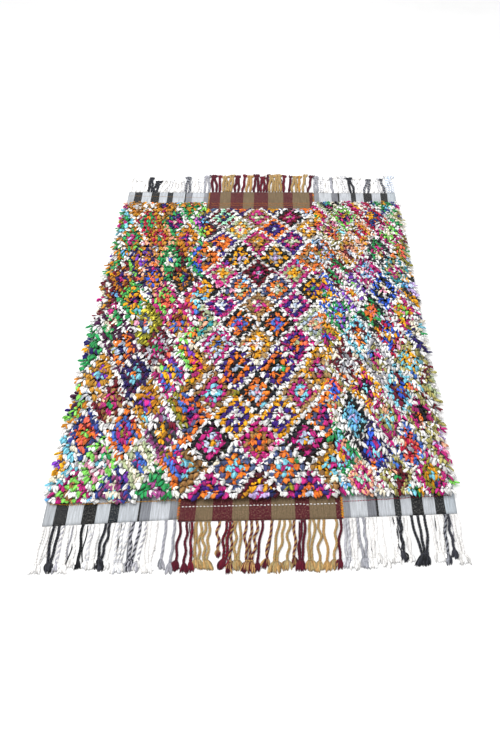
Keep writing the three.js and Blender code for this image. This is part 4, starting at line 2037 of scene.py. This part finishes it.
# The warp stripes of each ground, from its west edge: where each starts, as a share of the width,
# and its colour.
SIDE_LEFT_STRIPES = (
    (0.0, "a9adb2"), (0.078, "191a1e"), (0.168, "bbbfc4"), (0.283, "0f1012"), (0.385, "b8bdc3"),
    (0.484, "1c2228"), (0.553, "b5bac0"), (0.697, "16171a"), (0.713, "7e8188"), (0.79, "bdc1c7"),
    (0.93, "808389"),
)
CENTRE_STRIPES = (
    (0.0, "4c101f"), (0.103, "6c5d45"), (0.206, "4c101f"), (0.327, "6c5d45"), (0.426, "4c101f"),
    (0.566, "6c5d45"), (0.71, "4c101f"), (0.798, "6c5d45"), (0.96, "4c101f"),
)
SIDE_RIGHT_STRIPES = (
    (0.0, "85878d"), (0.07, "bfc3c8"), (0.216, "76787f"), (0.295, "16171a"), (0.313, "bcc0c6"),
    (0.454, "1f2226"), (0.515, "bcc0c6"), (0.608, "16171a"), (0.71, "babec4"), (0.815, "1d1f22"),
    (0.9, "b6bec5"),
)

LEFT_PANEL = Panel(
    GroundCloth(
        LEFT,
        StripedClothFinish(
            "grey and white striped cloth west", SIDE_LEFT_STRIPES, "9a9894", 180, 0.42
        ),
        "striped_cloth_side", 0.474, 2.128,
    ),
    Pile(
        TuftLattice(LEFT, LEFT_CHART, 0.04, 0.04, 41, (0.012, 0.966), (0.02, 0.962), 0.04),
        LEAFY_TUFT,
    ),
    (
        Fringe(LEFT, End.NEAR, NEAR_LEFT, "fringe_side", wisps=16, seed=51),
        Fringe(LEFT, End.FAR, FAR_LEFT, "fringe_side", 4.5, 3.0, wisps=16, seed=52),
    ),
    Sewing(
        "left",
        (
            StitchRow((-742, -978), (-665, -986), 7.0, 5.8, ("oc", "go"), 1.3),
            StitchRow((-665, -986), (-380, -968), 7.0, 5.8, ("oc", "go"), 1.3),
            StitchRow((-380, -968), (-270, -960), 7.0, 5.8, ("oc", "go"), 1.3),
            StitchRow((-738, -984), (-275, -966), 7.0, 5.8, ("oc", "go"), 1.3),
            StitchRow((-745, 1031), (-297, 1012), 6.0, 4.8, ("oc", "tn")),
        ),
        (
            SeamStitches(LEFT_SEAM, -1045, -958, ("tn", "br", "or")),
            SeamStitches(LEFT_SEAM, 900, 1062, ("tn", "br", "oc")),
        ),
        "striped_cloth_side",
    ),
)
CENTRE_PANEL = Panel(
    GroundCloth(
        CENTRE,
        StripedClothFinish("burgundy and khaki striped cloth", CENTRE_STRIPES, "b08a72", 220, 0.45),
        "striped_cloth_centre", 0.581, 2.118,
    ),
    Pile(
        TuftLattice(CENTRE, CENTRE_CHART, 0.03, 0.05, 42, (0.022, 0.967), (0.006, 0.914)),
        PLUMP_TUFT,
    ),
    (
        Fringe(CENTRE, End.NEAR, NEAR_CENTRE, "fringe_centre", wisps=5, seed=53, wobble=8.0),
        Fringe(CENTRE, End.FAR, FAR_CENTRE, "fringe_centre", 5.0, 3.6, wisps=8, seed=54),
    ),
    Sewing(
        "centre",
        (
            StitchRow((-258, -993), (322, -978), 13.0, 8.5, ("wh",), 2.2),
            StitchRow((-279, 957), (267, 957), 6.5, 5.6, ("or", "oc"), 1.1),
            StitchRow((-279, 938), (267, 938), 6.5, 5.6, ("oc", "or"), 1.1),
        ),
        (),
        "striped_cloth_centre",
    ),
)
RIGHT_PANEL = Panel(
    GroundCloth(
        RIGHT,
        StripedClothFinish(
            "grey and white striped cloth east", SIDE_RIGHT_STRIPES, "9a9894", 170, 0.42
        ),
        "striped_cloth_side", 0.446, 2.090,
    ),
    Pile(
        TuftLattice(
            RIGHT, RIGHT_CHART, 0.07, 0.05, 43, (0.046, 0.99), (0.014, 0.984), 0.09, overhang=26.0
        ),
        STRINGY_TUFT,
        THIN_LOCK,
    ),
    (
        Fringe(RIGHT, End.NEAR, NEAR_RIGHT, "fringe_side", wisps=14, seed=55),
        Fringe(RIGHT, End.FAR, FAR_RIGHT, "fringe_side", 4.5, 3.0, wisps=14, seed=56),
    ),
    Sewing(
        "right",
        (StitchRow((334, -970), (738, -942), 6.0, 5.0, ("ma", "cs"), 1.6),),
        (
            SeamStitches(RIGHT_SEAM, -1038, -950, ("or", "go")),
            SeamStitches(RIGHT_SEAM, 900, 1060, ("tn", "or", "br")),
        ),
        "striped_cloth_side",
        (
            SelvedgeCord(RIGHT_SEAM, -560, -40, -4.0, 15.0, "st"),
            SelvedgeCord(RIGHT_SEAM, -600, -80, 3.0, 14.0, "br"),
            SelvedgeCord(RIGHT_SEAM, -20, 420, -2.0, 14.0, "br"),
            SelvedgeCord(RIGHT_SEAM, 20, 520, 4.0, 13.0, "st"),
        ),
    ),
)


@dataclass(frozen=True)
class Studio:
    """The pale floor, the soft light and the camera."""

    floor_size: float = 14.0
    eye: tuple[float, float, float] = (0.1025, -2.372, 2.2001)
    pitch_down: float = 47.2026
    lens: float = 33.6
    sensor: float = 36.0
    shift_x: float = -0.04
    sky_strength: float = 0.95
    lamp_side: float = 3.0
    lamp_power: float = 120.0
    lamp_place: tuple[float, float, float] = (-1.1, 0.5, 3.4)
    lamp_tilt: tuple[float, float, float] = (-8.0, -18.0, 0.0)

    def camera(self) -> None:
        """Stands the camera where the photograph was taken from."""
        data = bpy.data.cameras.new("eye")
        data.lens = self.lens
        data.sensor_width = self.sensor
        data.sensor_fit = "AUTO"
        data.shift_x = self.shift_x
        camera = placed("eye", data)
        camera.location = (self.eye[0] + rug_shift(), self.eye[1], self.eye[2])
        camera.rotation_euler = (math.radians(90.0 - self.pitch_down), 0.0, 0.0)
        bpy.context.scene.camera = camera

    def floor(self) -> bpy.types.Object:
        """Lays the floor.

        Returns:
            The floor.
        """
        mesh = bmesh.new()
        bmesh.ops.create_grid(mesh, x_segments=2, y_segments=2, size=self.floor_size / 2)
        data = bpy.data.meshes.new("studio_floor")
        mesh.to_mesh(data)
        mesh.free()
        floor = placed("studio_floor", data)
        material, bench, shader = new_material("pale floor")
        mottle = bench.noise(bench.add("ShaderNodeTexCoord").outputs["Object"], 3.0)
        tone = bench.spread(mottle, 0.3, 0.7, 0.86, 0.9)
        bench.feed(shader.inputs["Base Color"], bench.vector(tone, tone, tone))
        shader.inputs["Roughness"].default_value = 0.9
        data.materials.append(material)
        return floor

    def light(self) -> None:
        """Lights the rug from a pale sky and one broad lamp."""
        world = bpy.data.worlds.new("pale sky")
        world.use_nodes = True
        background = world.node_tree.nodes["Background"]
        background.inputs["Color"].default_value = (1.0, 1.0, 1.0, 1.0)
        background.inputs["Strength"].default_value = self.sky_strength
        bpy.context.scene.world = world
        lamp = bpy.data.lights.new("broad lamp", "AREA")
        lamp.shape = "RECTANGLE"
        lamp.size = lamp.size_y = self.lamp_side
        lamp.energy = self.lamp_power
        stand = placed("broad lamp", lamp)
        stand.location = self.lamp_place
        stand.rotation_euler = [math.radians(angle) for angle in self.lamp_tilt]
        bpy.context.scene.view_settings.view_transform = "Standard"


def main() -> None:
    """Builds the studio and the three panels."""
    logging.basicConfig(level=logging.INFO, format="%(name)s %(message)s")
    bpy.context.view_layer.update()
    studio = Studio()
    studio.camera()
    floor = studio.floor()
    studio.light()
    for panel in (LEFT_PANEL, CENTRE_PANEL, RIGHT_PANEL):
        panel.build(floor)


if __name__ == "__main__":
    main()
